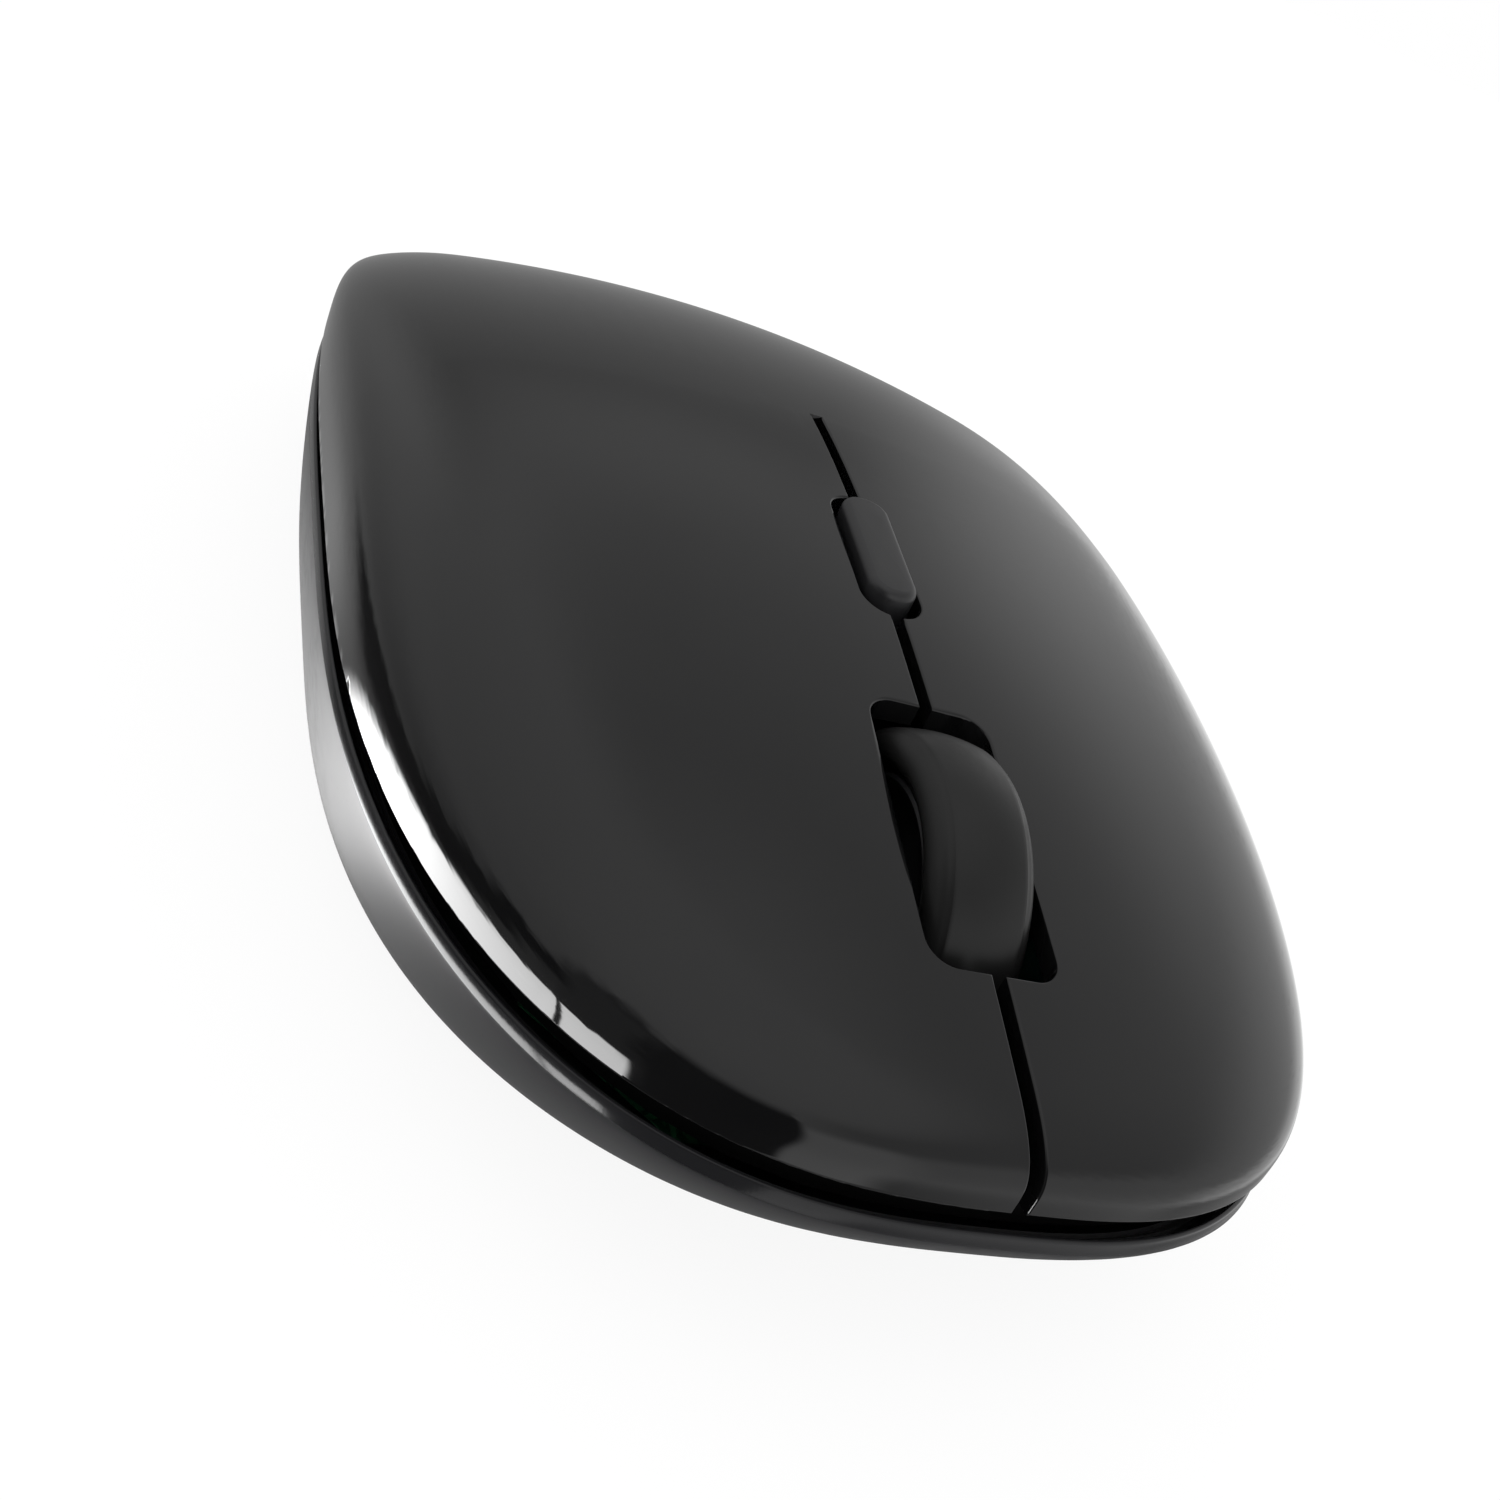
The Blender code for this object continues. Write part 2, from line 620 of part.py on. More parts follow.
def build_base(material):
    """Base tray with its bosses, battery bay, windows and foot pockets."""
    base = base_body("base_shell", 0, FOOT_HEIGHT, 0, material)
    cut(base, base_body("base_cavity", BASE_WALL, FLOOR_Z, 0.01))
    root = FLOOR_Z - FLOOR / 3
    add_bay(base, root)
    for side, word in ((1, "left"), (-1, "right")):
        front = (side * FRONT_SCREW[0], FRONT_SCREW[1])
        rear = (side * REAR_SCREW[0], REAR - REAR_SCREW[1])
        for centre, top, place_word in ((front, FRONT_BOSS_TOP, "front_"), (rear, REAR_BOSS_TOP, "rear_")):
            add(base, post("base_boss_" + place_word + word, centre, BOSS_RADIUS, root, top))
            cut(base, post("head_cutter_" + place_word + word, centre, HEAD_RADIUS + 0.0004, 0,
                           FOOT_HEIGHT + COUNTERBORE))
            cut(base, post("bore_cutter_" + place_word + word, centre, SHANK_RADIUS + GAP, 0,
                           top + 0.001, segments=16))
        board_hole = (side * BOARD_SCREW_X, FRONT + BOARD_SCREW[1])
        add(base, post("board_post_" + word, board_hole, BOARD_POST, root, BOARD_Z - GAP))
        cut(base, post("board_pilot_" + word, board_hole, SHANK_RADIUS + GAP, FLOOR_Z,
                       BOARD_Z, segments=16))
        add(base, post("front_post_" + word, (side * FRONT_POST[0], FRONT + FRONT_POST[1]),
                       BOARD_POST, root, BOARD_Z - GAP))
        for centre, foot_word in foot_places(side, word):
            size = (FOOT[0] + 2 * GAP, FOOT[1] + 2 * GAP)
            cut(base, centred_block(foot_word + "_pocket", centre, size, 0,
                                    FOOT_HEIGHT + FOOT_POCKET, corner=size[1] * 0.45))
    cut(base, rod("wheel_well", wheel_centre(), WHEEL_RADIUS + GAP, WHEEL_WIDTH + 2 * GAP))
    window = (LENS_BARREL[0] + 2 * GAP, LENS_BARREL[1] + 2 * GAP)
    cut(base, centred_block("sensor_window", (0, SENSOR_Y), window, 0, FLOOR_Z + 0.001,
                            corner=0.001))
    slot = (POWER_KNOB[0] + 2 * GAP, POWER_KNOB[1] + POWER_TRAVEL + 2 * GAP)
    cut(base, centred_block("power_slot", (-POWER_X, POWER_Y + POWER_TRAVEL / 2), slot, 0,
                            FLOOR_Z + 0.001))
    return base


def add_bay(base, root):
    """Walls of the battery bay and the opening that its door closes."""
    top = FLOOR_Z + RIB_HEIGHT
    front = CELL_FRONT - CELL_NUB[1] - PLATE[1] - 3 * GAP
    rear = CELL_REAR + SPRING_LENGTH + 2 * GAP
    for side, word in ((1, "left"), (-1, "right")):
        ends = sorted((side * BAY_HALF, side * (BAY_HALF + RIB)))
        add(base, block("bay_rib_" + word, (ends[0], front - RIB, root), (ends[1], rear, top)))
    outer = BAY_HALF + RIB
    add(base, block("bay_front_wall", (-outer, front - RIB, root), (outer, front, top)))
    add(base, block("bay_rear_wall", (-outer, rear, root), (outer, rear + RIB, top)))
    cut(base, block("door_opening", (-BAY_HALF, front, 0), (BAY_HALF, DOOR_REAR + GAP, FLOOR_Z + 0.0002)))


def foot_places(side, word):
    """Centre and name of the front and the rear foot on one side."""
    return (((side * FRONT_FOOT[0], FRONT + FRONT_FOOT[1]), "front_foot_" + word),
            ((side * REAR_FOOT[0], REAR - REAR_FOOT[1]), "rear_foot_" + word))


def build_feet(material):
    """Four glide feet, each set in its pocket."""
    for side, word in ((1, "left"), (-1, "right")):
        for centre, name in foot_places(side, word):
            centred_block(name, centre, FOOT, 0, FOOT_HEIGHT + FOOT_POCKET - GAP, material,
                          corner=FOOT[1] * 0.45)


def build_screw(name, centre, bottom, length, material, down=False):
    """A pan head screw; its head is below the shank unless down is set."""
    profile = [(0, length), (SHANK_RADIUS * 0.6, length), (SHANK_RADIUS, length - 0.0006),
               (SHANK_RADIUS, 0), (HEAD_RADIUS, 0), (HEAD_RADIUS, -HEAD_HEIGHT * 0.7),
               (HEAD_RADIUS * 0.8, -HEAD_HEIGHT), (0, -HEAD_HEIGHT)]
    rotation = (math.pi, 0, 0) if down else (0, 0, 0)
    screw = turned(name, profile, material, (*centre, bottom), rotation, steps=12)
    face = bottom + HEAD_HEIGHT if down else bottom - HEAD_HEIGHT
    for index, size in enumerate(((0.0018, 0.0005), (0.0005, 0.0018))):
        cut(screw, centred_block(name + "_recess_" + str(index), centre, size, face - 0.0005,
                                 face + 0.0005))
    return screw


def build_screws(material):
    """Four case screws from below and two board screws from above."""
    head_top = FOOT_HEIGHT + COUNTERBORE - GAP
    for side, word in ((1, "left"), (-1, "right")):
        build_screw("front_screw_" + word, (side * FRONT_SCREW[0], FRONT_SCREW[1]), head_top,
                    SCREW_LENGTH - 0.0005, material)
        build_screw("rear_screw_" + word, (side * REAR_SCREW[0], REAR - REAR_SCREW[1]), head_top,
                    REAR_BOSS_TOP - head_top + 0.0040, material)
        build_screw("board_screw_" + word, (side * BOARD_SCREW_X, FRONT + BOARD_SCREW[1]),
                    BOARD_TOP + GAP, BOARD_SCREW_LENGTH, material, down=True)


# Scroll wheel -----------------------------------------------------------------------------

def wheel_centre():
    """Centre of the wheel: its top stands proud of the crown."""
    return Vector((0, WHEEL_Y, crown_height(0, WHEEL_Y) + WHEEL_PROUD - WHEEL_RADIUS))


def build_wheel(tyre_material, hub_material, axle_material):
    """Crowned rubber tyre, its hub and the axle, all turned about the same axis."""
    centre = wheel_centre()
    sideways = (0, math.pi / 2, 0)
    half = WHEEL_WIDTH / 2
    shoulder_radius = WHEEL_RADIUS - 0.00045
    seat = WHEEL_RADIUS - TYRE_DEPTH
    tread = []
    for step in range(5):
        share = 1 - step / 2
        height = share * (half - 0.0006)
        tread.append((WHEEL_RADIUS - (WHEEL_RADIUS - shoulder_radius) * share * share, height))
    tyre = [(seat, half - 0.0004), (shoulder_radius - 0.0009, half)]
    tyre += [(shoulder_radius - 0.0003, half - 0.0001)] + tread
    tyre += [(shoulder_radius - 0.0003, -half + 0.0001), (shoulder_radius - 0.0009, -half)]
    tyre += [(seat, -half + 0.0004)]
    turned("wheel_tyre", tyre, tyre_material, centre, sideways, steps=32, closed=True)
    bore = AXLE_RADIUS + GAP
    rim = seat - GAP
    web = 0.0011
    hub = [(bore, half - 0.0006), (bore + 0.0012, half - 0.0006), (bore + 0.0012, web),
           (rim - 0.0012, web), (rim - 0.0012, half - 0.0006), (rim, half - 0.0006)]
    hub += [(radius, -height) for radius, height in reversed(hub)]
    turned("wheel_hub", hub, hub_material, centre, sideways, steps=28, closed=True)
    left, right = ENCODER_X + ENCODER[0] * 0.3, -CRADLE_X - CRADLE[0] / 2 - 0.0005
    axle = [(0, left), (AXLE_RADIUS - 0.0003, left), (AXLE_RADIUS, left - 0.0003),
            (AXLE_RADIUS, right + 0.0003), (AXLE_RADIUS - 0.0003, right), (0, right)]
    turned("wheel_axle", axle, axle_material, centre, sideways, steps=20)


def build_cradle(material):
    """Saddle that holds the axle's free end and presses the middle switch."""
    centre = wheel_centre()
    notch = AXLE_RADIUS + GAP
    bottom = centre.z - notch - CRADLE_FLOOR
    cradle = centred_block("axle_cradle", (-CRADLE_X, WHEEL_Y), CRADLE, bottom,
                           centre.z + 0.0008, material, edge=0.0002)
    cut(cradle, rod("cradle_notch", (-CRADLE_X, WHEEL_Y, centre.z), notch, CRADLE[0] * 2))
    cut(cradle, centred_block("cradle_mouth", (-CRADLE_X, WHEEL_Y), (CRADLE[0] * 2, notch * 2),
                              centre.z, centre.z + 0.005))
    pivot("wheel_tilt", (ENCODER_X, WHEEL_Y, centre.z), cradle)


def build_encoder(material):
    """Rotary encoder that the axle's other end turns in."""
    centre = wheel_centre()
    encoder = centred_block("encoder", (ENCODER_X, WHEEL_Y), ENCODER[:2], BOARD_TOP + GAP,
                            centre.z + ENCODER[2], material, edge=0.0003)
    cut(encoder, rod("encoder_bore", (ENCODER_X, WHEEL_Y, centre.z), AXLE_RADIUS + 0.0004,
                     ENCODER[0] * 2))


# Buttons and switches ---------------------------------------------------------------------

def build_button(material):
    """Speed button: crowned cap, flange that keeps it in the shell, and a stem."""
    height = crown_height(0, BUTTON_Y)
    cap = crown_body("dpi_button", 0, -BUTTON_PROUD, 0, material)
    reach = centred_block("button_outline", (0, BUTTON_Y), BUTTON, height - BUTTON_DEPTH,
                          height + 0.01, corner=BUTTON[0] * 0.45)
    combine(cap, reach, "INTERSECT")
    lowest = min(crown_height(FLANGE[0] / 2, BUTTON_Y + side * FLANGE[1] / 2) for side in (-1, 1))
    top = lowest - SHELL_WALL - GAP
    add(cap, centred_block("button_flange", (0, BUTTON_Y), FLANGE[:2], top - FLANGE[2], top,
                           corner=FLANGE[0] * 0.4))
    add(cap, post("button_stem", (0, BUTTON_Y), STEM_RADIUS, tact_top() + GAP,
                  top - FLANGE[2] / 2, segments=20))
    pivot("button_slide", (0, BUTTON_Y, height), cap)


def tact_top():
    """Top of the speed switch's plunger."""
    return BOARD_TOP + GAP + TACT_SWITCH[2] + PLUNGER_PROUD


def build_switch(name, centre, size, top, well, material):
    """A switch body on the board, with a well for its plunger given as a cutter."""
    body = centred_block(name, centre, size[:2], BOARD_TOP + GAP, top, material, edge=0.0003)
    cut(body, well)


def build_key_switches(body_material, plunger_material):
    """Microswitch and plunger under each main key."""
    top = plunger_top() - PLUNGER_PROUD
    for side, word in ((1, "left"), (-1, "right")):
        middle = (side * KEY_SWITCH_X, KEY_SWITCH_Y)
        tip = (side * KEY_SWITCH_X, KEY_PLUNGER_Y)
        size = (KEY_PLUNGER[0] + 2 * GAP, KEY_PLUNGER[1] + 2 * GAP)
        well = centred_block(word + "_well", tip, size, top - PLUNGER_DEPTH - KEY_TRAVEL - GAP,
                             top + 0.001)
        build_switch(word + "_switch", middle, KEY_SWITCH, top, well, body_material)
        plunger = centred_block(word + "_plunger", tip, KEY_PLUNGER, top - PLUNGER_DEPTH,
                                plunger_top(), plunger_material, edge=0.0001)
        pivot(word + "_plunger_slide", (*tip, top), plunger)


def build_round_switch(word, centre, size, radius, top, travel, depth, materials):
    """A small square switch with a round plunger that ends proud of it."""
    body_top = top - PLUNGER_PROUD
    well = post(word + "_well", centre, radius + GAP, body_top - depth - travel - GAP,
                body_top + 0.001, segments=16)
    build_switch(word + "_switch", centre, size, body_top, well, materials[0])
    plunger = post(word + "_plunger", centre, radius, body_top - depth, top, materials[1],
                   segments=16)
    pivot(word + "_plunger_slide", (*centre, body_top), plunger)


def build_power_switch(body_material, knob_material):
    """Slide switch under the board, and its knob in the slot of the floor."""
    top = BOARD_Z - GAP
    bottom = top - POWER_SWITCH[2]
    middle = (-POWER_X, POWER_Y + POWER_TRAVEL / 2)
    centred_block("power_switch", middle, POWER_SWITCH[:2], bottom, top, body_material,
                  edge=0.0002)
    knob = centred_block("power_knob", (-POWER_X, POWER_Y), POWER_KNOB,
                         FOOT_HEIGHT + POWER_RECESS, bottom - GAP, knob_material, edge=0.0002)
    pivot("power_slide", (-POWER_X, POWER_Y, FOOT_HEIGHT), knob)


# Electronics and battery ------------------------------------------------------------------

def build_board(material):
    """Circuit board with a chamfered nose, cut out around the wheel."""
    board = block("main_board", (BOARD_SIDE - WIDTH / 2, FRONT + BOARD_FRONT, BOARD_Z),
                  (WIDTH / 2 - BOARD_SIDE, FRONT + BOARD_FRONT + BOARD_LENGTH, BOARD_TOP), material)
    half = WIDTH / 2 - BOARD_SIDE
    nose = FRONT + BOARD_FRONT
    for side, word in ((1, "left"), (-1, "right")):
        run = half - board_nose()
        size = 2 * math.hypot(run, BOARD_CHAMFER)
        corner = centred_block("board_corner_" + word, (0, 0), (size, size), BOARD_Z - 0.001,
                               BOARD_TOP + 0.001)
        lean = math.atan2(BOARD_CHAMFER, run)
        middle = Vector((side * (half + board_nose()) / 2, nose + BOARD_CHAMFER / 2, 0))
        outwards = Vector((side * math.sin(lean), -math.cos(lean), 0))
        corner.location = middle + outwards * size / 2
        corner.rotation_euler = (0, 0, side * lean)
        cut(board, corner)
        hole = (side * BOARD_SCREW_X, FRONT + BOARD_SCREW[1])
        cut(board, post("board_hole_" + word, hole, SHANK_RADIUS + GAP, BOARD_Z - 0.001,
                        BOARD_TOP + 0.001, segments=16))
    room = (WHEEL_WIDTH + 0.0030, 2 * WHEEL_RADIUS + 0.0020)
    cut(board, centred_block("board_wheel_cutter", (0, WHEEL_Y), room, BOARD_Z - 0.001,
                             BOARD_TOP + 0.001, corner=0.001))


def build_sensor(chip_material, lens_material):
    """Optical sensor under the board, and the lens that looks through the floor."""
    top = BOARD_Z - GAP
    centred_block("sensor_ic", (0, SENSOR_Y), SENSOR[:2], top - SENSOR[2], top, chip_material,
                  edge=0.0002)
    seat = FLOOR_Z + GAP
    lens = centred_block("sensor_lens", (0, SENSOR_Y), LENS[:2], seat, seat + LENS[2],
                         lens_material)
    add(lens, centred_block("lens_barrel", (0, SENSOR_Y), LENS_BARREL, FOOT_HEIGHT + 0.0005,
                            seat + LENS[2] / 2, corner=0.001))


def build_components(chip_material, can_material, sleeve_material):
    """Controller chip, crystal can and capacitor on top of the board."""
    floor = BOARD_TOP + GAP
    centred_block("mcu_ic", (0.0115, FRONT + 0.0385), CHIP[:2], floor, floor + CHIP[2],
                  chip_material, edge=0.0002)
    centred_block("crystal", (0.0135, FRONT + 0.0300), CRYSTAL[:2], floor, floor + CRYSTAL[2],
                  can_material, corner=0.0014, edge=0.0002)
    radius, height = CAPACITOR
    profile = [(0, height), (radius - 0.0004, height), (radius, height - 0.0004),
               (radius, 0.0011), (radius - 0.0003, 0.0008), (radius, 0.0005), (radius, 0), (0, 0)]
    turned("capacitor", profile, sleeve_material, (-0.0120, FRONT + 0.0385, floor), (0, 0, 0),
           steps=16)


def build_battery(cell_material, contact_material):
    """Cell along the body, its plate contact in front and its spring contact behind."""
    middle = CELL_LENGTH / 2
    nub_radius, nub_length = CELL_NUB
    profile = [(0, middle + nub_length), (nub_radius, middle + nub_length), (nub_radius, middle),
               (CELL_RADIUS - 0.0005, middle), (CELL_RADIUS, middle - 0.0005),
               (CELL_RADIUS, 0.0005 - middle), (CELL_RADIUS - 0.0005, -middle), (0, -middle)]
    centre = (0, CELL_FRONT + middle, CELL_Z)
    turned("battery_cell", profile, cell_material, centre, (math.pi / 2, 0, 0), steps=28)
    face = CELL_FRONT - nub_length - GAP
    block("plate_contact", (-PLATE[0] / 2, face - PLATE[1], CELL_Z - PLATE[2] / 2),
          (PLATE[0] / 2, face, CELL_Z + PLATE[2] / 2), contact_material, edge=0.0001)
    start = CELL_REAR + GAP + SPRING_WIRE
    run = SPRING_LENGTH - 2 * SPRING_WIRE
    points = []
    steps = 12 * SPRING_TURNS
    for step in range(steps + 1):
        share = step / steps
        radius = 0.0022 + 0.0014 * share
        turn = math.tau * SPRING_TURNS * share
        points.append((radius * math.cos(turn), start + run * share,
                       CELL_Z + radius * math.sin(turn)))
    wire("spring_contact", points, SPRING_WIRE, contact_material)


def build_leads(plus_material, minus_material):
    """Two insulated leads from the bay's contacts to the board."""
    height = BOARD_TOP + LEAD_RADIUS + 2 * GAP
    bay_front = CELL_FRONT - CELL_NUB[1] - PLATE[1] - 3 * GAP - RIB
    board_end = FRONT + BOARD_FRONT + BOARD_LENGTH
    rise = FLOOR_Z + RIB_HEIGHT + LEAD_RADIUS + 2 * GAP
    plus = [(0.0045, board_end - 0.0040, height), (0.0045, board_end - 0.0010, height),
            (0.0043, (board_end + bay_front) / 2, (height + rise) / 2 + 0.0006),
            (0.0040, bay_front + RIB / 2, rise)]
    wire("plus_lead", plus, LEAD_RADIUS, plus_material)
    side = -(BAY_HALF + RIB + LEAD_RADIUS + 2 * GAP)
    rear = CELL_REAR + SPRING_LENGTH - 0.0010
    minus = [(side + 0.0010, board_end - 0.0040, height), (side, board_end - 0.0010, height),
             (side, bay_front + 0.0030, height - 0.0008), (side, rear - 0.0060, height - 0.0008),
             (side, rear - 0.0020, height), (side + 0.0006, rear, rise),
             (side + RIB + LEAD_RADIUS, rear + 0.0004, rise)]
    wire("minus_lead", minus, LEAD_RADIUS, minus_material)


def build_door(material):
    """Battery door, flush with the underside; its round rear edge turns in the opening."""
    half = BAY_HALF - GAP
    radius = FLOOR / 2
    front = CELL_FRONT - CELL_NUB[1] - PLATE[1] - 2 * GAP
    axis = (0, DOOR_REAR - radius, FOOT_HEIGHT + radius)
    door = block("battery_door", (-half, front, FOOT_HEIGHT), (half, axis[1], FOOT_HEIGHT + FLOOR),
                 material)
    add(door, rod("door_barrel", axis, radius, 2 * half, segments=20))
    notch = centred_block("door_notch", (0, front), (0.0090, 0.0024), FOOT_HEIGHT - 0.001,
                          FOOT_HEIGHT + FLOOR * 0.5, corner=0.001)
    cut(door, notch)
    pivot("door_hinge", axis, door)


# Assembly ---------------------------------------------------------------------------------

clear_scene()
PARTS = bpy.data.collections.new("computer_mouse")
CUTTERS = bpy.data.collections.new("cutters")
for group in (PARTS, CUTTERS):
    bpy.context.scene.collection.children.link(group)

gloss_black = make_material("gloss_black", (0.018, 0.018, 0.020), 0.12)
frame_black = make_material("frame_black", (0.008, 0.008, 0.009), 0.60)
base_black = make_material("base_black", (0.030, 0.030, 0.032), 0.22)
rubber_black = make_material("rubber_black", (0.020, 0.020, 0.021), 0.50)
button_black = make_material("button_black", (0.024, 0.024, 0.026), 0.35)
door_black = make_material("door_black", (0.026, 0.026, 0.028), 0.45)
hub_grey = make_material("hub_grey", (0.060, 0.060, 0.065), 0.45)
foot_grey = make_material("foot_grey", (0.040, 0.040, 0.042), 0.55)
steel = make_material("steel", (0.560, 0.560, 0.570), 0.30, 1.0)
spring_steel = make_material("spring_steel", (0.620, 0.610, 0.580), 0.28, 1.0)
board_green = make_material("board_green", (0.020, 0.150, 0.060), 0.45)
chip_black = make_material("chip_black", (0.020, 0.020, 0.022), 0.55)
switch_black = make_material("switch_black", (0.025, 0.025, 0.027), 0.50)
plunger_white = make_material("plunger_white", (0.780, 0.770, 0.740), 0.45)
encoder_green = make_material("encoder_green", (0.050, 0.180, 0.160), 0.50)
clear_lens = make_material("clear_lens", (0.850, 0.880, 0.900), 0.08)
cell_wrap = make_material("cell_wrap", (0.100, 0.160, 0.300), 0.35)
sleeve_navy = make_material("sleeve_navy", (0.020, 0.030, 0.100), 0.40)
lead_red = make_material("lead_red", (0.500, 0.020, 0.020), 0.50)
lead_black = make_material("lead_black", (0.020, 0.020, 0.020), 0.50)

shell_cavity = crown_body("shell_cavity", SHELL_WALL, SHELL_WALL, 0.005)
openings = opening_cutters()
build_palm_cover(shell_cavity, gloss_black)
build_key("left_key", 1, shell_cavity, openings, gloss_black)
build_key("right_key", -1, shell_cavity, openings, gloss_black)
build_mid_frame(frame_black)
build_base(base_black)
build_feet(foot_grey)
build_screws(steel)
build_wheel(rubber_black, hub_grey, steel)
build_cradle(plunger_white)
build_encoder(encoder_green)
build_button(button_black)
build_key_switches(switch_black, plunger_white)
build_round_switch("dpi", (0, BUTTON_Y), TACT_SWITCH, TACT_PLUNGER, tact_top(), BUTTON_TRAVEL,
                   PLUNGER_DEPTH, (switch_black, plunger_white))
middle_top = wheel_centre().z - AXLE_RADIUS - GAP - CRADLE_FLOOR - GAP
build_round_switch("middle", (-CRADLE_X, WHEEL_Y), (MIDDLE_SWITCH, MIDDLE_SWITCH), MIDDLE_PLUNGER,
                   middle_top, MIDDLE_TRAVEL, 0.0006, (switch_black, plunger_white))
build_power_switch(switch_black, plunger_white)
build_board(board_green)
build_sensor(chip_black, clear_lens)
build_components(chip_black, steel, sleeve_navy)
build_battery(cell_wrap, spring_steel)
build_leads(lead_red, lead_black)
build_door(door_black)
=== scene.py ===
"""Looks of a wireless computer mouse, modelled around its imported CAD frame.

Metres, +Z up. The front edge is at -Y, and +X is the user's left hand side.
"""

import json
import math

import bmesh
import bpy
from mathutils import Matrix, Vector
from mathutils.bvhtree import BVHTree


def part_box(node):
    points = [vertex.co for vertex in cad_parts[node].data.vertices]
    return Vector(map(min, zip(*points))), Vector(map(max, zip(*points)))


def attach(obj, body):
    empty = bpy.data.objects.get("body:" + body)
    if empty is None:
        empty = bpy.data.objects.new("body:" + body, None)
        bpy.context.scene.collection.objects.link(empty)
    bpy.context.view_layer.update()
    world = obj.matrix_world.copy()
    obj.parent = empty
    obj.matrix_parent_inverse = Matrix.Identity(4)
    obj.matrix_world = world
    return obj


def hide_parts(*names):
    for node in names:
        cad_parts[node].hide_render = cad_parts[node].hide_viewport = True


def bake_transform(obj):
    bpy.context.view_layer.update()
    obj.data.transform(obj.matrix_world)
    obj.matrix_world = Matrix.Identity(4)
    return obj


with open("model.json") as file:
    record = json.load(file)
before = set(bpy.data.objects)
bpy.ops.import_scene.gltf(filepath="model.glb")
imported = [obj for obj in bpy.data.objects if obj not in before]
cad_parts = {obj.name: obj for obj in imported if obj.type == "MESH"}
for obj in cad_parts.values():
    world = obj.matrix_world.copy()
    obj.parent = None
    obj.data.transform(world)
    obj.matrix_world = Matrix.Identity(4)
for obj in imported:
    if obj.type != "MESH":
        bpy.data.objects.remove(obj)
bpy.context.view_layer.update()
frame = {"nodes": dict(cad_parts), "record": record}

# Driving dimensions, the same as the frame's
LENGTH = 0.106
WIDTH = 0.061
CROWN_HEIGHT = 0.01475
FOOT_HEIGHT = 0.0006
PARTING_Z = 0.0099
SHELL_WALL = 0.0014
BASE_WALL = 0.0015
FLOOR = 0.0013
FLOOR_Z = FOOT_HEIGHT + FLOOR
GAP = 0.0003
FRONT = -LENGTH / 2
REAR = LENGTH / 2

# Plan outline and crown
FRONT_POWER = 2.74
REAR_POWER = 4.15
TAPER = 0.043
CROWN_Y = 0.0057
FRONT_DROP = 0.0097
FRONT_DROP_POWER = 1.64
REAR_DROP = 0.0113
REAR_DROP_POWER = 2.18
SIDE_DROP = 0.0043
SHOULDER_SIDE = 0.0125
SHOULDER_END = 0.0049
SHOULDER_POWERS = (3.28, 4.69)

# Parting line, groove and base
PARTING_TILT = 0.0004
PARTING_LIFT = 0.0026
GROOVE = 0.0015
RIM_BAND = 0.0008
RIM_DRAFT = 0.0001
RIM_ROUND = 0.0002
RIM_SLOPE = 0.0013               # fall of the base's rim towards its inner edge
BASE_POWER = 1.22
BASE_SPREAD = 2.85
UNDERCUT_SIDE = 0.0010
UNDERCUT_FRONT = 0.0103
UNDERCUT_REAR = 0.0030

# Keys and openings
SLOT = 0.0008
HINGE_Y = 0.0065
SLOT_MOUTH = 0.0004              # depth of the tool that rounds the slot's mouth
SEAM_Y = HINGE_Y - 0.0003        # where the palm and the keys meet, just inside the slot
TOOL_REACH = 0.01                # how far the slot's tool runs out past the front
TOOL_TOP = 0.04
HOLE_DEPTH = 0.0070
WHEEL_HOLE = (0.0076, 0.0178)
HOLE_Y = -0.0338
HOLE_CORNER = 0.0016
BUTTON_HOLE = (0.0041, 0.0122)
BUTTON_HOLE_CORNER = BUTTON_HOLE[0] * 0.46
BUTTON_Y = -0.0110
OPENING_ROUND = 0.00016
MOUTH_TURN = math.radians(74)    # how far a rounded mouth turns before it runs on straight
MOUTH_RUN = 0.0004
MOUTH_TOP = 0.0012
EDGE_ROUND = 0.00022
NOSE_SHARE = 0.14                # share of the half length in which the slot turns down
NOSE_EASE = 3.4                  # crowds the slot's points towards its steep front end
LAST_SHARE = 0.995               # how far the crown's rings close in on its middle
NEAR_SKIN = 0.000004             # furthest that a point may lie off the skin and be shaded as it
KEY_POST = (0.0030, 0.0044)
KEY_POST_END = 0.0146
KEY_SWITCH_X = 0.0150
KEY_PLUNGER_Y = -0.0375

# Scroll wheel
WHEEL = (0.0, -0.0320, 0.012457)
WHEEL_RADIUS = 0.0100
WHEEL_WIDTH = 0.0062
TYRE_SEAT = 0.0076
TYRE_BEAD = ((0, 0.00055), (0.0002, 0.00045), (0.0004, 0.00012), (0.0006, 0.00002))
TYRE_BEAD_END = 0.0008
FLANK = (0.00085, 0.00034)       # width of the tyre's flank, and fall of its tread to the edge
FLANK_TURN = math.pi * 0.39
EDGE_FALL = 0.00007              # drop and width of the tread's crisp edge
EDGE_WIDTH = 0.00012
TREAD_FALL = FLANK[1] - 0.00009  # fall of the crowned tread up to that edge
HUB_RIM = 0.0073
HUB_RECESS = 0.0006              # how far the hub's rim lies inside the tyre's side
HUB_CHAMFER = 0.0001
COLLAR = (0.0009, 0.0011, 0.0012)  # from the bore: ends of the collar's face and slope, web's start
HUB_BAND = 0.0006                # depth of the hub's rim
WEB = (0.0010, 0.0013, 2.4)      # half thickness, that and the drop from the rim's face, and power
AXLE_BORE = 0.0015

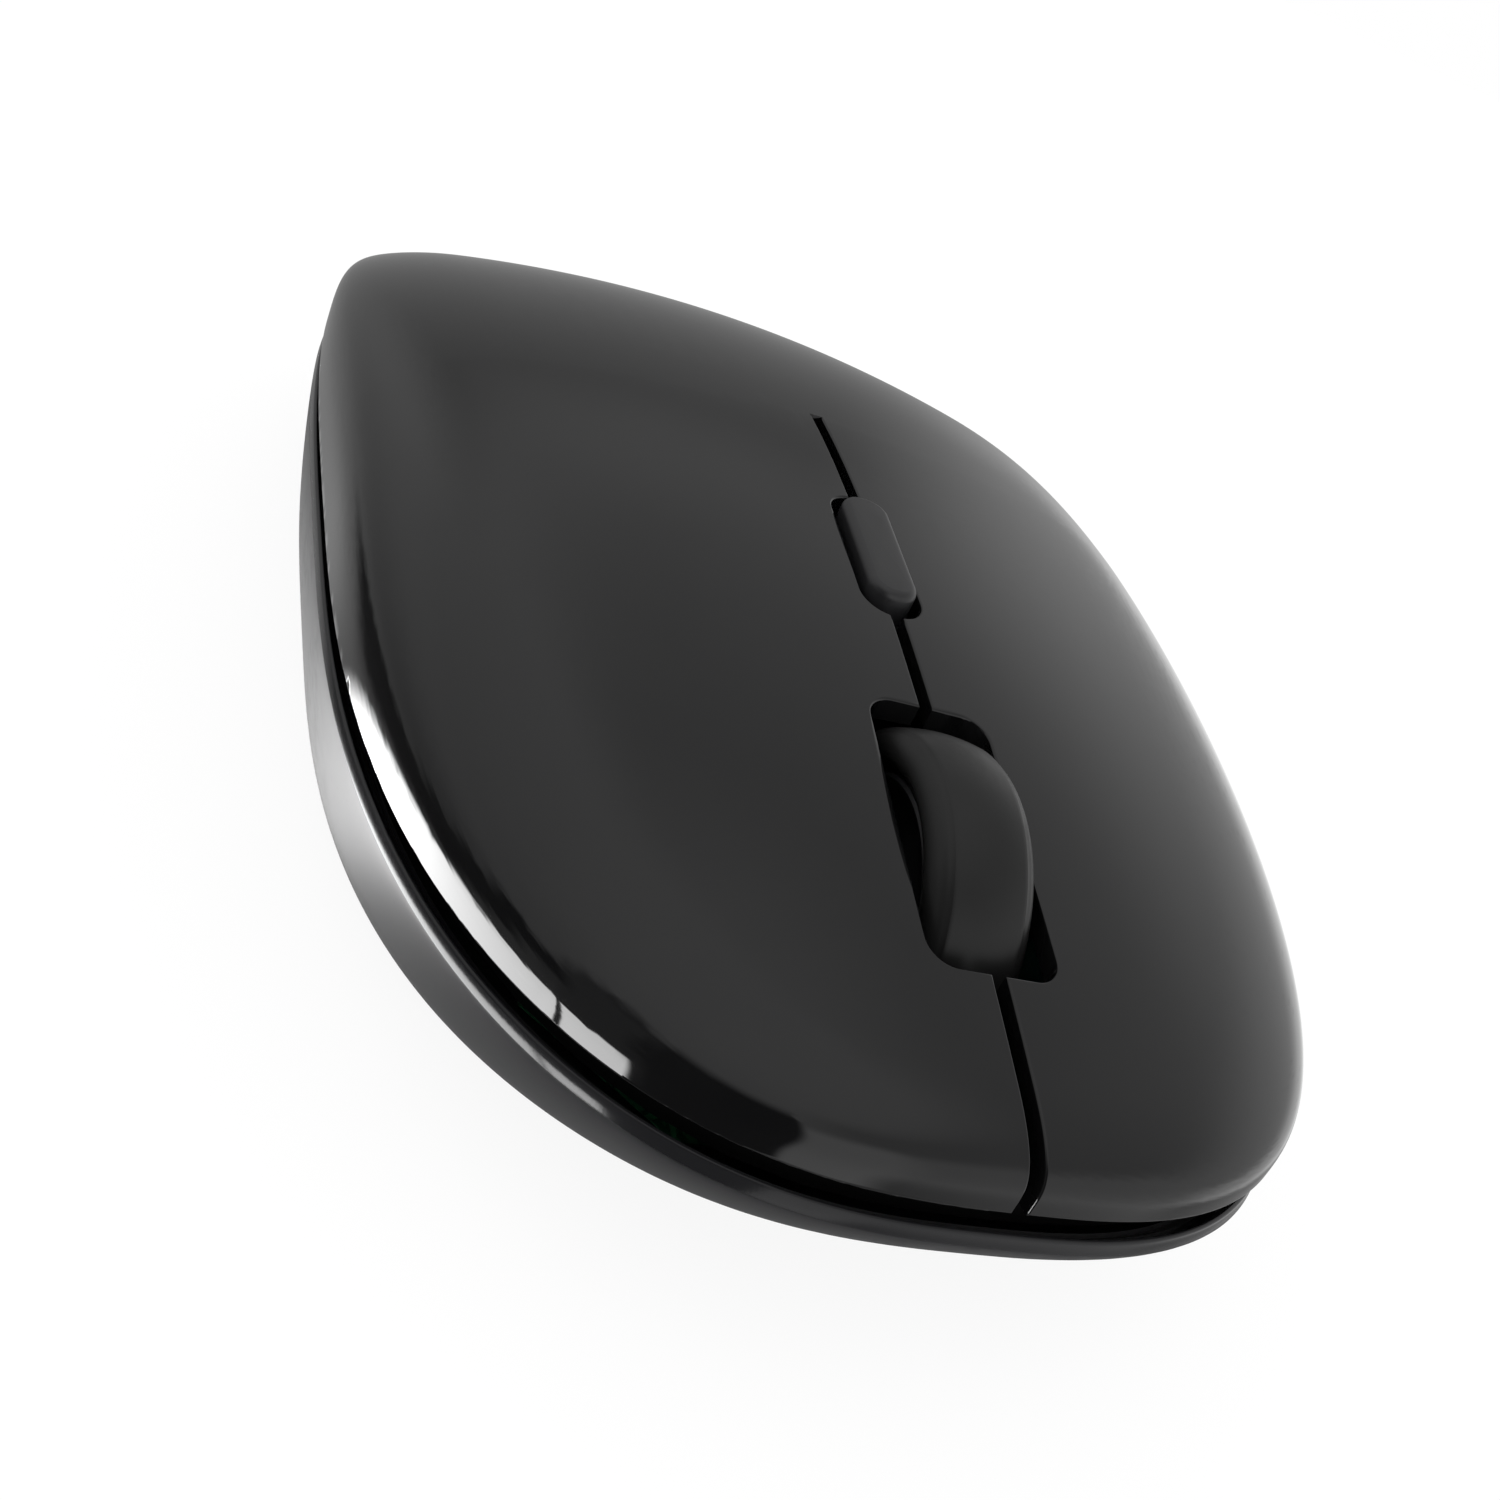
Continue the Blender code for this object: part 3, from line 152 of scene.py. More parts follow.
# Speed button
BUTTON = (0.0033, 0.0104)
BUTTON_PROUD = 0.0008
BUTTON_ROUND = 0.0005
BUTTON_CORNER = BUTTON[0] * 0.45
BUTTON_DEPTH = 0.0020
FLANGE = (0.0056, 0.0142, 0.0010)
STEM_RADIUS = 0.0014

# Base, screws and underside
MOUTH_CHAMFER = 0.00018
BAY_HALF = 0.00765
BAY_ENDS = (-0.0019, 0.0477)
RIB = 0.0010
RIB_TOP = FLOOR_Z + 0.0066
BOSS_RADIUS = 0.0030
SCREW_BORE = 0.0013
COUNTERBORE = 0.0048
COUNTERBORE_TOP = 0.0022
REAR_SCREW = (0.0170, 0.0310)
PALM_BOSS_END = 0.0113
CASE_SCREWS = [(side * x, y, top) for x, y, top in ((0.0234, -0.0100, 0.0081), (*REAR_SCREW, 0.0110))
               for side in (1, -1)]
SCREW_HEAD = (0.0020, 0.0011)
HEAD_ROUND = ((0.00062, 0), (0.00030, 0.00010), (0.00009, 0.00028), (0, 0.00052))
HEAD_EASE = (0.00005, 0.00004)
SCREW_CORE = 0.00078
THREAD = ((SCREW_CORE, 0.00012), (0.0010, 0.00026), (SCREW_CORE, 0.0004))
THREAD_PITCH = 0.00042
SCREW_TIP = (0.0003, 0.0005)
CROSS = (0.0019, 0.00046)
BOARD_SCREW = (0.0160, -0.0080)
FRONT_POST = (0.0100, -0.0415)
POST_RADIUS = 0.0020
POST_TOP = 0.0053
FOOT = (0.0120, 0.0045)
FOOT_CORNER = 0.45               # share of a foot's width
FOOT_POCKET_TOP = 0.0011
FEET = {"front_foot_left": (0.0120, -0.0330), "front_foot_right": (-0.0120, -0.0330),
        "rear_foot_left": (0.0165, 0.0410), "rear_foot_right": (-0.0165, 0.0410)}
SENSOR_Y = -0.0090
LENS_BARREL = (0.0080, 0.0062)
LENS_FLANGE = 0.0006
LENS_ROUND = 0.0001
BOWL_Y = SENSOR_Y - 0.0011       # ball-shaped window of the lens, and the prism behind it
BOWL = (0.0011, 0.00022, 0.00012)
PRISM_Y = SENSOR_Y + 0.0014
PRISM = (0.0026, 0.0014)
SENSOR_WINDOW = (0.0086, 0.0068)
POWER_SLOT = (-0.0140, -0.01775)
POWER_OPENING = (0.0030, 0.0065)
SQUARE = 0.00005                 # corner of an opening that looks square
DOOR_EASE = 0.00012
DOOR_TAPER = 0.82
DOOR_GRIP = (0.0030, 0.0008, 0.0090, 0.0006)  # first groove, pitch, length, and loss of length

PAST_FLOOR = 0.001               # how far a cut through the floor or a boss runs on

# Mouths of tools that cut into a downward face: (offset, height above the face)
NOTCH_MOUTH = ((0.0003, -0.0003), (0.0001, 0), (0, 0.0001))
DOOR_GROOVE = ((0.00012, -0.0001), (0.00004, 0), (-0.00008, 0.00022))
KNOB_GROOVE = ((0.0001, -0.0001), (0.00003, 0), (-0.00006, 0.0002))
CROSS_MOUTH = ((0.00004, -0.0002), (-0.00008, 0.0007))
PRISM_MOUTH = ((0.0001, -0.0001), (-0.0001, 0.0004))

# Studio: brightness of the surroundings, and cards laid over it in turn, each with the azimuth
# (0 behind, 90 at the left key's side) and elevation of its middle, its brightness, its half
# spreads in degrees and the widths of its soft edges
AMBIENT = 1.2
STUDIO_LOW = 0.28                # brightness near the ground, before the two rises below
WALL_RISE = (-12.0, 30.0, 0.32)  # from and to an elevation, and by how much
ROOF_RISE = (20.0, 90.0, 0.20)
CARDS = (
    (7, 5, 0.31, (16, 18), (18, 22)),          # dimmer wall behind
    (7, -38, 0.50, (16, 8), (14, 10)),         # light foreground behind
    (90, 48, 0.50, (75, 6), (30, 16)),         # dim band high on the left key's side
    (85, 12, 0.80, (38, 8), (24, 18)),         # bright wall on that side
    (85, -14, 1.20, (36, 9), (24, 12)),        # brighter table edge below it
    (85, -40, 0.36, (42, 8), (22, 10)),        # darker ground there
    (143, 0, 0.82, (20, 22), (18, 24)),        # wall ahead
    (178, -8, 1.05, (9, 34), (12, 22)),        # bright gap ahead
    (-136, -15, 0.05, (31, 58), (4, 18)),      # black flag ahead of the right key
    (-110, 4, 0.20, (8, 34), (9, 20)),         # its softer border
    (-92, 4, 0.05, (7, 6), (8, 9)),            # dark gap that dips towards the rear right
    (-80, -10, 0.05, (5, 6), (8, 8)),
    (-69, -18, 0.05, (6, 5), (8, 6)),
    (-48, -24, 0.04, (17, 4), (10, 5)),
    (-70, -39, 10.0, (47, 5.5), (3, 2.4)),     # long light strip low at the right
    (-98, -39, 0.05, (0.8, 7), (0.7, 1)),      # joint in the strip
)

# Camera: angles in radians, and lengths in parts of which the body is 112 long
CAMERA_TURN = (-0.45423, 0.50290, 0.44756)        # azimuth, elevation and roll
CAMERA_PLACE = (126.761, -0.37594, -8.26456)      # distance, then shift to its right and its top
CAMERA_PART = LENGTH / 112
CAMERA_LENS = 40.77

# Finishes of moulded pieces: dark and light shade, range of roughness, cycles a metre and depth in
# metres of the grain, and specular level
MOULDED = {
    "frame_black": ((0.0016,) * 3, (0.0030,) * 3, (0.75, 0.90), 2600.0, 0.000012, 0.12),
    "base_black": ((0.009, 0.009, 0.010), (0.013, 0.013, 0.014), (0.42, 0.50), 5200.0, 0.0000012, 0.30),
    "rubber_black": ((0.005,) * 3, (0.008,) * 3, (0.36, 0.46), 4200.0, 0.0000015, 0.34),
    "button_black": ((0.010, 0.010, 0.011), (0.015, 0.015, 0.016), (0.36, 0.46), 5200.0, 0.000002, 0.5),
    "door_black": ((0.010, 0.010, 0.011), (0.017, 0.017, 0.018), (0.46, 0.58), 2400.0, 0.000010, 0.5),
    "hub_grey": ((0.008, 0.008, 0.009), (0.013, 0.013, 0.014), (0.40, 0.50), 3600.0, 0.000002, 0.35),
    "foot_grey": ((0.014, 0.014, 0.015), (0.030, 0.030, 0.032), (0.45, 0.65), 3000.0, 0.000004, 0.5),
    "chip_black": ((0.012, 0.012, 0.013), (0.022, 0.022, 0.024), (0.52, 0.62), 3800.0, 0.000006, 0.5),
    "switch_black": ((0.014, 0.014, 0.015), (0.024, 0.024, 0.026), (0.42, 0.52), 3400.0, 0.000004, 0.5),
    "plunger_white": ((0.66, 0.65, 0.61), (0.76, 0.75, 0.71), (0.38, 0.48), 3400.0, 0.000003, 0.5),
    "encoder_green": ((0.030, 0.130, 0.115), (0.050, 0.180, 0.160), (0.42, 0.52), 3400.0, 0.000004, 0.5),
    "sleeve_navy": ((0.012, 0.018, 0.070), (0.020, 0.030, 0.100), (0.26, 0.36), 1600.0, 0.000004, 0.5),
    "lead_red": ((0.36, 0.014, 0.014), (0.50, 0.022, 0.020), (0.38, 0.48), 2600.0, 0.000004, 0.5),
    "lead_black": ((0.010,) * 3, (0.018,) * 3, (0.38, 0.48), 2600.0, 0.000004, 0.5),
}
RIM_BAND_ROUGHNESS = 0.13
SLEEVE_JOIN_Y = (0.0112, 0.0113)  # where the battery sleeve changes colour

# Mesh steps
OUTLINE_STEPS = 448
CROWN_STEPS = 112
LINING_STEPS = 26
SLOT_STEPS = 48
NOSE_STEPS = 36
WALL_STEPS = 22
PROFILE_STEPS = 10
WEB_STEPS = 12
LOOP_STEPS = 10                  # steps in each rounded corner of a loop
ROUND_STEPS = 5


# Body surfaces ----------------------------------------------------------------------------

def outline_power(y):
    """Superellipse power of the plan outline, which is blunter behind."""
    return FRONT_POWER if y < 0 else REAR_POWER


def outline_point(angle, inset):
    """Point of the plan outline in a direction, moved inwards by inset."""
    across, along = math.cos(angle), math.sin(angle)
    power = outline_power(along)
    reach = (abs(across) ** power + abs(along) ** power) ** (-1 / power)
    y = (LENGTH / 2 - inset) * along * reach
    x = (WIDTH / 2 - inset) * (1 + TAPER * y / REAR) * across * reach
    return x, y


def parting_height(y):
    """Height of the shell's lower edge, which rises towards both ends."""
    share = y / REAR
    return PARTING_Z + PARTING_TILT * share + PARTING_LIFT * share * share


def crown_height(x, y):
    """Height of the crown before its shoulders are rounded down."""
    if y < CROWN_Y:
        drop = FRONT_DROP * ((CROWN_Y - y) / (CROWN_Y - FRONT)) ** FRONT_DROP_POWER
    else:
        share = min(y - CROWN_Y, REAR - CROWN_Y) / (REAR - CROWN_Y)
        drop = REAR_DROP * share ** REAR_DROP_POWER
    return PARTING_Z + CROWN_HEIGHT - drop - SIDE_DROP * (x / (WIDTH / 2)) ** 2


def shoulder(x, y, inset):
    """How far the rounded shoulder has risen, from 0 at the rim to 1 on the crown."""
    power = outline_power(y)
    half_width = (WIDTH / 2 - inset) * (1 + TAPER * y / REAR)
    half_length = LENGTH / 2 - inset
    across, along = abs(x) / half_width, abs(y) / half_length
    radius = (across ** power + along ** power) ** (1 / power)
    if radius <= 1e-6:
        return 1.0
    slope_x = (across / radius) ** (power - 1) / half_width
    slope_y = (along / radius) ** (power - 1) / half_length
    slope = math.hypot(slope_x, slope_y)
    distance = max(1 - radius, 0) / slope
    endwise = (slope_y / slope) ** 2
    width = SHOULDER_SIDE + (SHOULDER_END - SHOULDER_SIDE) * endwise
    share = min(distance / width, 1)
    inner, outer = SHOULDER_POWERS
    return (1 - (1 - share) ** inner) ** (1 / outer)


def shell_height(x, y, inset=0.0, lower=0.0):
    """Height of the shell's surface, or of one that lies inset and lower inside it."""
    rim = parting_height(y)
    return rim + max(crown_height(x, y) - lower - rim, 0) * shoulder(x, y, inset)


def undercut(y):
    """How far the base's flat underside lies inside its rim."""
    end = UNDERCUT_FRONT if y < 0 else UNDERCUT_REAR
    return UNDERCUT_SIDE + (end - UNDERCUT_SIDE) * abs(y / REAR) ** BASE_SPREAD


def outline_angles():
    """Directions of the outline's points, from the middle of the front edge."""
    return [math.tau * step / OUTLINE_STEPS - math.pi / 2 for step in range(OUTLINE_STEPS)]


def outline_ring(inset, height):
    """Ring of points along the outline; height is a function of x and y."""
    points = [outline_point(angle, inset) for angle in outline_angles()]
    return [(x, y, height(x, y)) for x, y in points]


def surface_ring(share, inset=0.0, lower=0.0):
    """Ring on the shell's surface, drawn in towards the middle by a share."""
    ring = []
    for x, y in (outline_point(angle, inset) for angle in outline_angles()):
        x, y = x * (1 - share), y * (1 - share)
        ring.append((x, y, shell_height(x, y, inset, lower)))
    return ring


# Modelling --------------------------------------------------------------------------------

def rest():
    """Leave edit mode with nothing selected."""
    if bpy.context.mode != "OBJECT":
        bpy.ops.object.mode_set(mode="OBJECT")
    bpy.ops.object.select_all(action="DESELECT")


def take(item):
    """Select one object alone and make it active."""
    rest()
    item.select_set(True)
    bpy.context.view_layer.objects.active = item


def give_name(item, name):
    """Name a piece and its mesh."""
    item.name = name
    item.data.name = name
    return item


def name_new(name):
    """Name the object that an operator has just added."""
    return give_name(bpy.context.object, name)


def place_ring(mesh, points):
    """Move the newest ring of vertices to its points."""
    shape = bmesh.from_edit_mesh(mesh)
    shape.verts.ensure_lookup_table()
    number = shape.verts.layers.int["step"]
    for vertex in shape.verts[-len(points):]:
        vertex.co = points[vertex[number]]
    bmesh.update_edit_mesh(mesh, loop_triangles=False)


def stack(name, rings):
    """A closed body: one circle of edges extruded from ring to ring, with both ends filled."""
    rest()
    bpy.ops.mesh.primitive_circle_add(vertices=len(rings[0]), radius=0.01)
    item = name_new(name)
    bpy.ops.object.mode_set(mode="EDIT")
    bpy.ops.mesh.select_all(action="SELECT")
    shape = bmesh.from_edit_mesh(item.data)
    number = shape.verts.layers.int.new("step")
    for index, vertex in enumerate(shape.verts):
        vertex[number] = index
    place_ring(item.data, rings[0])
    bpy.ops.mesh.edge_face_add()
    for ring in rings[1:]:
        bpy.ops.mesh.extrude_edges_indiv()
        place_ring(item.data, ring)
    bpy.ops.mesh.edge_face_add()
    bpy.ops.mesh.select_all(action="SELECT")
    bpy.ops.mesh.remove_doubles(threshold=1e-7)
    bpy.ops.mesh.normals_make_consistent(inside=False)
    rest()
    return item


def spun(name, profile, centre, steps=160):
    """A closed profile of (radius, offset) points turned about the X axis through centre."""
    rest()
    bpy.ops.mesh.primitive_circle_add(vertices=len(profile), radius=0.01)
    item = name_new(name)
    bpy.ops.object.mode_set(mode="EDIT")
    shape = bmesh.from_edit_mesh(item.data)
    for vertex, (radius, offset) in zip(shape.verts, profile):
        vertex.co = (centre[0] + offset, centre[1], centre[2] + radius)
    bmesh.update_edit_mesh(item.data)
    bpy.ops.mesh.select_all(action="SELECT")
    bpy.ops.mesh.spin(steps=steps, angle=math.tau, center=centre, axis=(1, 0, 0))
    bpy.ops.mesh.select_all(action="SELECT")
    bpy.ops.mesh.remove_doubles(threshold=1e-6)
    bpy.ops.mesh.normals_make_consistent(inside=False)
    rest()
    return item


def shape_with(item, tool, operation="DIFFERENCE"):
    """Cut a tool out of a piece, or join it on, and throw the tool away."""
    take(item)
    step = item.modifiers.new("shape", "BOOLEAN")
    step.operation = operation
    step.solver = "MANIFOLD"
    step.object = tool
    bpy.ops.object.modifier_apply(modifier=step.name)
    bpy.data.objects.remove(tool, do_unlink=True)


def box(name, low, high):
    """A plain block between two corners, used as a tool or a start."""
    rest()
    bpy.ops.mesh.primitive_cube_add(size=1)
    item = name_new(name)
    size = Vector(high) - Vector(low)
    middle = (Vector(high) + Vector(low)) / 2
    item.data.transform(Matrix.Translation(middle) @ Matrix.Diagonal((*size, 1)))
    return item


def around(name, centre, size, bottom, top):
    """A plain block around a point of the plan, between two heights."""
    x, y = centre
    low = (x - size[0] / 2, y - size[1] / 2, bottom)
    high = (x + size[0] / 2, y + size[1] / 2, top)
    return box(name, low, high)


def upright(name, centre, radius, bottom, top, steps=40):
    """An upright round post around a point of the plan."""
    rest()
    bpy.ops.mesh.primitive_cylinder_add(vertices=steps, radius=radius, depth=top - bottom,
                                        location=(*centre, (bottom + top) / 2))
    item = name_new(name)
    item.data.transform(item.matrix_world)
    item.matrix_world = Matrix.Identity(4)
    return item


def loop(centre, size, corner, offset=0.0):
    """Points of a rounded rectangle in the plan, grown by offset."""
    points = []
    radius = corner + offset
    half = (size[0] / 2 - corner, size[1] / 2 - corner)
    for quarter, (side_x, side_y) in enumerate(((1, 1), (-1, 1), (-1, -1), (1, -1))):
        for step in range(LOOP_STEPS + 1):
            turn = math.pi / 2 * (quarter + step / LOOP_STEPS)
            points.append((centre[0] + side_x * half[0] + radius * math.cos(turn),
                           centre[1] + side_y * half[1] + radius * math.sin(turn)))
    return points


def pad(name, centre, size, corner, levels):
    """A rounded rectangle stacked through levels of (offset, height)."""
    return stack(name, [[(x, y, height) for x, y in loop(centre, size, corner, offset)]
                        for offset, height in levels])


def carve(item, name, centre, size, corner, face, mouth):
    """Cut a rounded rectangle into a downward face, with a mouth of (offset, height) points."""
    shape_with(item, pad(name, centre, size, corner, [(offset, face + rise) for offset, rise in mouth]))


def rounded_levels(bottom, top, low_round, high_round):
    """Levels of (offset, height) for a pad with its lower and upper rims rounded."""
    levels = []
    for step in range(ROUND_STEPS + 1):
        turn = math.pi / 2 * step / ROUND_STEPS
        levels.append((-low_round * (1 - math.sin(turn)), bottom + low_round * (1 - math.cos(turn))))
    for step in range(ROUND_STEPS + 1):
        turn = math.pi / 2 * step / ROUND_STEPS
        levels.append((-high_round * (1 - math.cos(turn)), top - high_round * (1 - math.sin(turn))))
    return levels


def flare_steps(radius):
    """(offset, height) points of an opening's rounded mouth, relative to the surface."""
    points = []
    for step in range(ROUND_STEPS + 1):
        turn = MOUTH_TURN * step / ROUND_STEPS
        points.append((radius * (1 - math.cos(turn)), -radius * (1 - math.sin(turn))))
    offset, height = points[-1]
    points.append((offset + MOUTH_RUN * math.sin(MOUTH_TURN), height + MOUTH_RUN * math.cos(MOUTH_TURN)))
    points.append((offset + MOUTH_RUN, MOUTH_TOP))
    return points


def finish_shape(item, angle=35):
    """Smooth shading, with the edges sharper than an angle kept crisp."""
    take(item)
    bpy.ops.object.shade_smooth_by_angle(angle=math.radians(angle))
    step = item.data.attributes.get("step")
    if step:
        item.data.attributes.remove(step)
    rest()
    return item


# Shell ------------------------------------------------------------------------------------

def skin_rings():
    """Rings over the outer surface, from the rounded lower edge to the crown."""
    rings = []
    for step in range(ROUND_STEPS):
        turn = math.pi / 2 * step / ROUND_STEPS
        inset = EDGE_ROUND * (1 - math.sin(turn))
        lift = EDGE_ROUND * (1 - math.cos(turn))
        rings.append(outline_ring(inset, lambda x, y: parting_height(y) + lift))
    for step in range(CROWN_STEPS + 1):
        share = LAST_SHARE * (step / CROWN_STEPS) ** 3
        ring = surface_ring(share)
        rings.append([(x, y, max(z, parting_height(y) + EDGE_ROUND)) for x, y, z in ring])
    return rings


def lining_rings():
    """Rings over the inner surface, from the crown down to the lower edge."""
    rings = []
    for step in range(LINING_STEPS, -1, -1):
        share = LAST_SHARE * (step / LINING_STEPS) ** 3
        rings.append(surface_ring(share, SHELL_WALL, SHELL_WALL))
    return rings


def mouth_tool(name, centre, size, corner):
    """Tool that cuts a hole through the crown and rounds its mouth."""
    rings = []
    for offset, height in [(0, -HOLE_DEPTH)] + flare_steps(OPENING_ROUND):
        points = loop(centre, size, corner, offset)
        rings.append([(x, y, shell_height(x, y) + height) for x, y in points])
    return stack(name, rings)


def slot_path():
    """Points of the shell's middle line from the slot's rear end down the front."""
    path = []
    for step in range(SLOT_STEPS):
        y = HINGE_Y + (FRONT * (1 - NOSE_SHARE) - HINGE_Y) * step / SLOT_STEPS
        path.append((y, shell_height(0, y)))
    for step in range(NOSE_STEPS, 0, -1):
        y = FRONT * (1 - NOSE_SHARE * (step / NOSE_STEPS) ** NOSE_EASE)
        path.append((y, shell_height(0, y)))
    path.append((FRONT, parting_height(FRONT) + 0.0002))
    path.append((FRONT, parting_height(FRONT) - 0.0010))
    return path


def slot_mouth():
    """Tool swept along the middle line that rounds the slot's mouth."""
    half = SLOT / 2
    right = [(half - 0.0001, -SLOT_MOUTH)]
    right += [(half + offset, height) for offset, height in flare_steps(OPENING_ROUND)]
    section = right + [(-x, height) for x, height in reversed(right)]
    path = slot_path()
    rings = []
    for index, (y, z) in enumerate(path):
        before = path[max(index - 1, 0)]
        after = path[min(index + 1, len(path) - 1)]
        along = Vector((after[0] - before[0], after[1] - before[1])).normalized()
        outwards = Vector((along.y, -along.x))
        rings.append([(x, y + outwards.x * height, z + outwards.y * height)
                      for x, height in section])
    return stack("slot_mouth", rings)


def lowest_ceiling(centre, radius):
    """Lowest point of the shell's inner face above a round post."""
    turns = [math.tau * step / 8 for step in range(8)]
    return min(shell_height(centre[0] + radius * math.cos(turn), centre[1] + radius * math.sin(turn),
                            SHELL_WALL, SHELL_WALL) for turn in turns)


def borrow_normals(item, reference):
    """Take the shading of the whole shell, so that cuts and seams don't show on it."""
    source = BVHTree.FromObject(reference, bpy.context.evaluated_depsgraph_get())
    group = item.vertex_groups.new(name="skin")
    near = [vertex.index for vertex in item.data.vertices
            if source.find_nearest(vertex.co)[3] < NEAR_SKIN]
    group.add(near, 1.0, "REPLACE")
    take(item)
    step = item.modifiers.new("normals", "DATA_TRANSFER")
    step.object = reference
    step.use_loop_data = True
    step.data_types_loops = {"CUSTOM_NORMAL"}
    step.loop_mapping = "POLYINTERP_NEAREST"
    step.vertex_group = "skin"
    bpy.ops.object.modifier_apply(modifier=step.name)
    item.vertex_groups.clear()


def cut_at(item, place, normal):
    """Keep the side of a plane that its normal points away from, and close the cut."""
    take(item)
    bpy.ops.object.mode_set(mode="EDIT")
    bpy.ops.mesh.select_all(action="SELECT")
    bpy.ops.mesh.bisect(plane_co=place, plane_no=normal, use_fill=True, clear_outer=True,
                        threshold=1e-7)
    rest()


def copy_of(item, name):
    """A copy of a piece with its own mesh."""
    take(item)
    bpy.ops.object.duplicate()
    return name_new(name)


def make_shell():
    """Palm shell and two keys, cut from one closed skin."""
    reference = stack("shell_reference", skin_rings())
    whole = stack("shell", lining_rings() + skin_rings())
    shape_with(whole, box("slot", (-SLOT / 2, FRONT - TOOL_REACH, 0), (SLOT / 2, HINGE_Y, TOOL_TOP)))
    shape_with(whole, slot_mouth())
    shape_with(whole, mouth_tool("wheel_mouth", (0, HOLE_Y), WHEEL_HOLE, HOLE_CORNER))
    shape_with(whole, mouth_tool("button_mouth", (0, BUTTON_Y), BUTTON_HOLE, BUTTON_HOLE_CORNER))
    palm = copy_of(whole, "palm_shell")
    cut_at(palm, (0, SEAM_Y, 0), (0, -1, 0))
    cut_at(whole, (0, SEAM_Y, 0), (0, 1, 0))
    take(whole)
    bpy.ops.mesh.separate(type="LOOSE")
    halves = sorted(bpy.context.selected_objects, key=lambda item: item.data.vertices[0].co.x)
    for side, item, name in zip((-1, 1), halves, ("right_key_shell", "left_key_shell")):
        give_name(item, name)
        centre = (side * KEY_SWITCH_X, KEY_PLUNGER_Y)
        ceiling = lowest_ceiling(centre, math.hypot(*KEY_POST) / 2)
        finger = around("finger", centre, KEY_POST, KEY_POST_END, ceiling + SHELL_WALL / 2)
        shape_with(item, finger, "UNION")
    for side in (-1, 1):
        centre = (side * REAR_SCREW[0], REAR_SCREW[1])
        ceiling = lowest_ceiling(centre, BOSS_RADIUS)
        boss = upright("boss", centre, BOSS_RADIUS, PALM_BOSS_END, ceiling + SHELL_WALL / 2)
        shape_with(palm, boss, "UNION")
        bore = upright("bore", centre, SCREW_BORE, PALM_BOSS_END - GAP, ceiling - SHELL_WALL / 2)
        shape_with(palm, bore)
    pieces = [palm, *halves]
    for item in pieces:
        finish_shape(item)
        borrow_normals(item, reference)
    bpy.data.objects.remove(reference, do_unlink=True)
    return pieces


# Base -------------------------------------------------------------------------------------

def base_ring(inset, turn, floor):
    """Ring of the base's undercut wall, from 0 at the rim to a quarter turn on the floor."""
    inwards = 1 - max(math.cos(turn), 0) ** (2 / BASE_POWER)
    down = math.sin(turn) ** (2 / BASE_POWER)
    ring = []
    for angle in outline_angles():
        rim_y = outline_point(angle, inset)[1]
        x, y = outline_point(angle, inset + undercut(rim_y) * inwards)
        rim = parting_height(rim_y) - GROOVE - RIM_BAND
        ring.append((x, y, rim - (rim - floor) * down))
    return ring


def inner_ring(share, height):
    """Flat ring inside the base's floor, drawn in towards the middle."""
    ring = base_ring(0, math.pi / 2, height)
    return [(x * (1 - share), y * (1 - share), height) for x, y, z in ring]


def groove_height(x, y):
    """Height of the base's rim, where the shadow groove begins."""
    return parting_height(y) - GROOVE


def base_rings():
    """Rings of the tray: underside, undercut wall, rounded rim, inner wall and floor."""
    rings = [inner_ring(share, FOOT_HEIGHT) for share in (0.96, 0.5, 0.1, 0.01)]
    for step in range(WALL_STEPS, -1, -1):
        turn = math.pi / 2 * (step / WALL_STEPS)
        rings.append(base_ring(0, turn, FOOT_HEIGHT))
    for step in range(ROUND_STEPS + 1):
        turn = math.pi / 2 * step / ROUND_STEPS
        inset = RIM_DRAFT + RIM_ROUND * (1 - math.cos(turn))
        drop = RIM_ROUND * (1 - math.sin(turn))
        rings.append(outline_ring(inset, lambda x, y: groove_height(x, y) - drop))
    rings.append(outline_ring(BASE_WALL, lambda x, y: groove_height(x, y) - RIM_SLOPE))
    for step in range(2, WALL_STEPS + 1, 2):
        turn = math.pi / 2 * (step / WALL_STEPS)
        rings.append(base_ring(BASE_WALL, turn, FLOOR_Z))
    floor = base_ring(BASE_WALL, math.pi / 2, FLOOR_Z)
    for share in (0.1, 0.5, 0.96):
        rings.append([(x * (1 - share), y * (1 - share), z) for x, y, z in floor])
    return rings


def sunk(name, centre, size, corner, top):
    """Tool for an opening in the underside, with a small chamfer around its mouth."""
    return pad(name, centre, size, corner,
               [(0.0008, FOOT_HEIGHT - 0.0006), (MOUTH_CHAMFER, FOOT_HEIGHT),
                (0, FOOT_HEIGHT + MOUTH_CHAMFER), (0, top)])


def add_bay(base):
    """Walls of the battery bay and the opening that its door closes."""
    root = FLOOR_Z - FLOOR / 3
    front, rear = BAY_ENDS
    outer = BAY_HALF + RIB
    for side in (-1, 1):
        ends = sorted((side * BAY_HALF, side * outer))
        shape_with(base, box("rib", (ends[0], front - RIB, root), (ends[1], rear, RIB_TOP)), "UNION")
    shape_with(base, box("wall", (-outer, front - RIB, root), (outer, front, RIB_TOP)), "UNION")
    shape_with(base, box("wall", (-outer, rear, root), (outer, rear + RIB, RIB_TOP)), "UNION")
    size = (2 * BAY_HALF, rear - front)
    shape_with(base, sunk("opening", (0, (front + rear) / 2), size, SQUARE, FLOOR_Z + 0.0002))


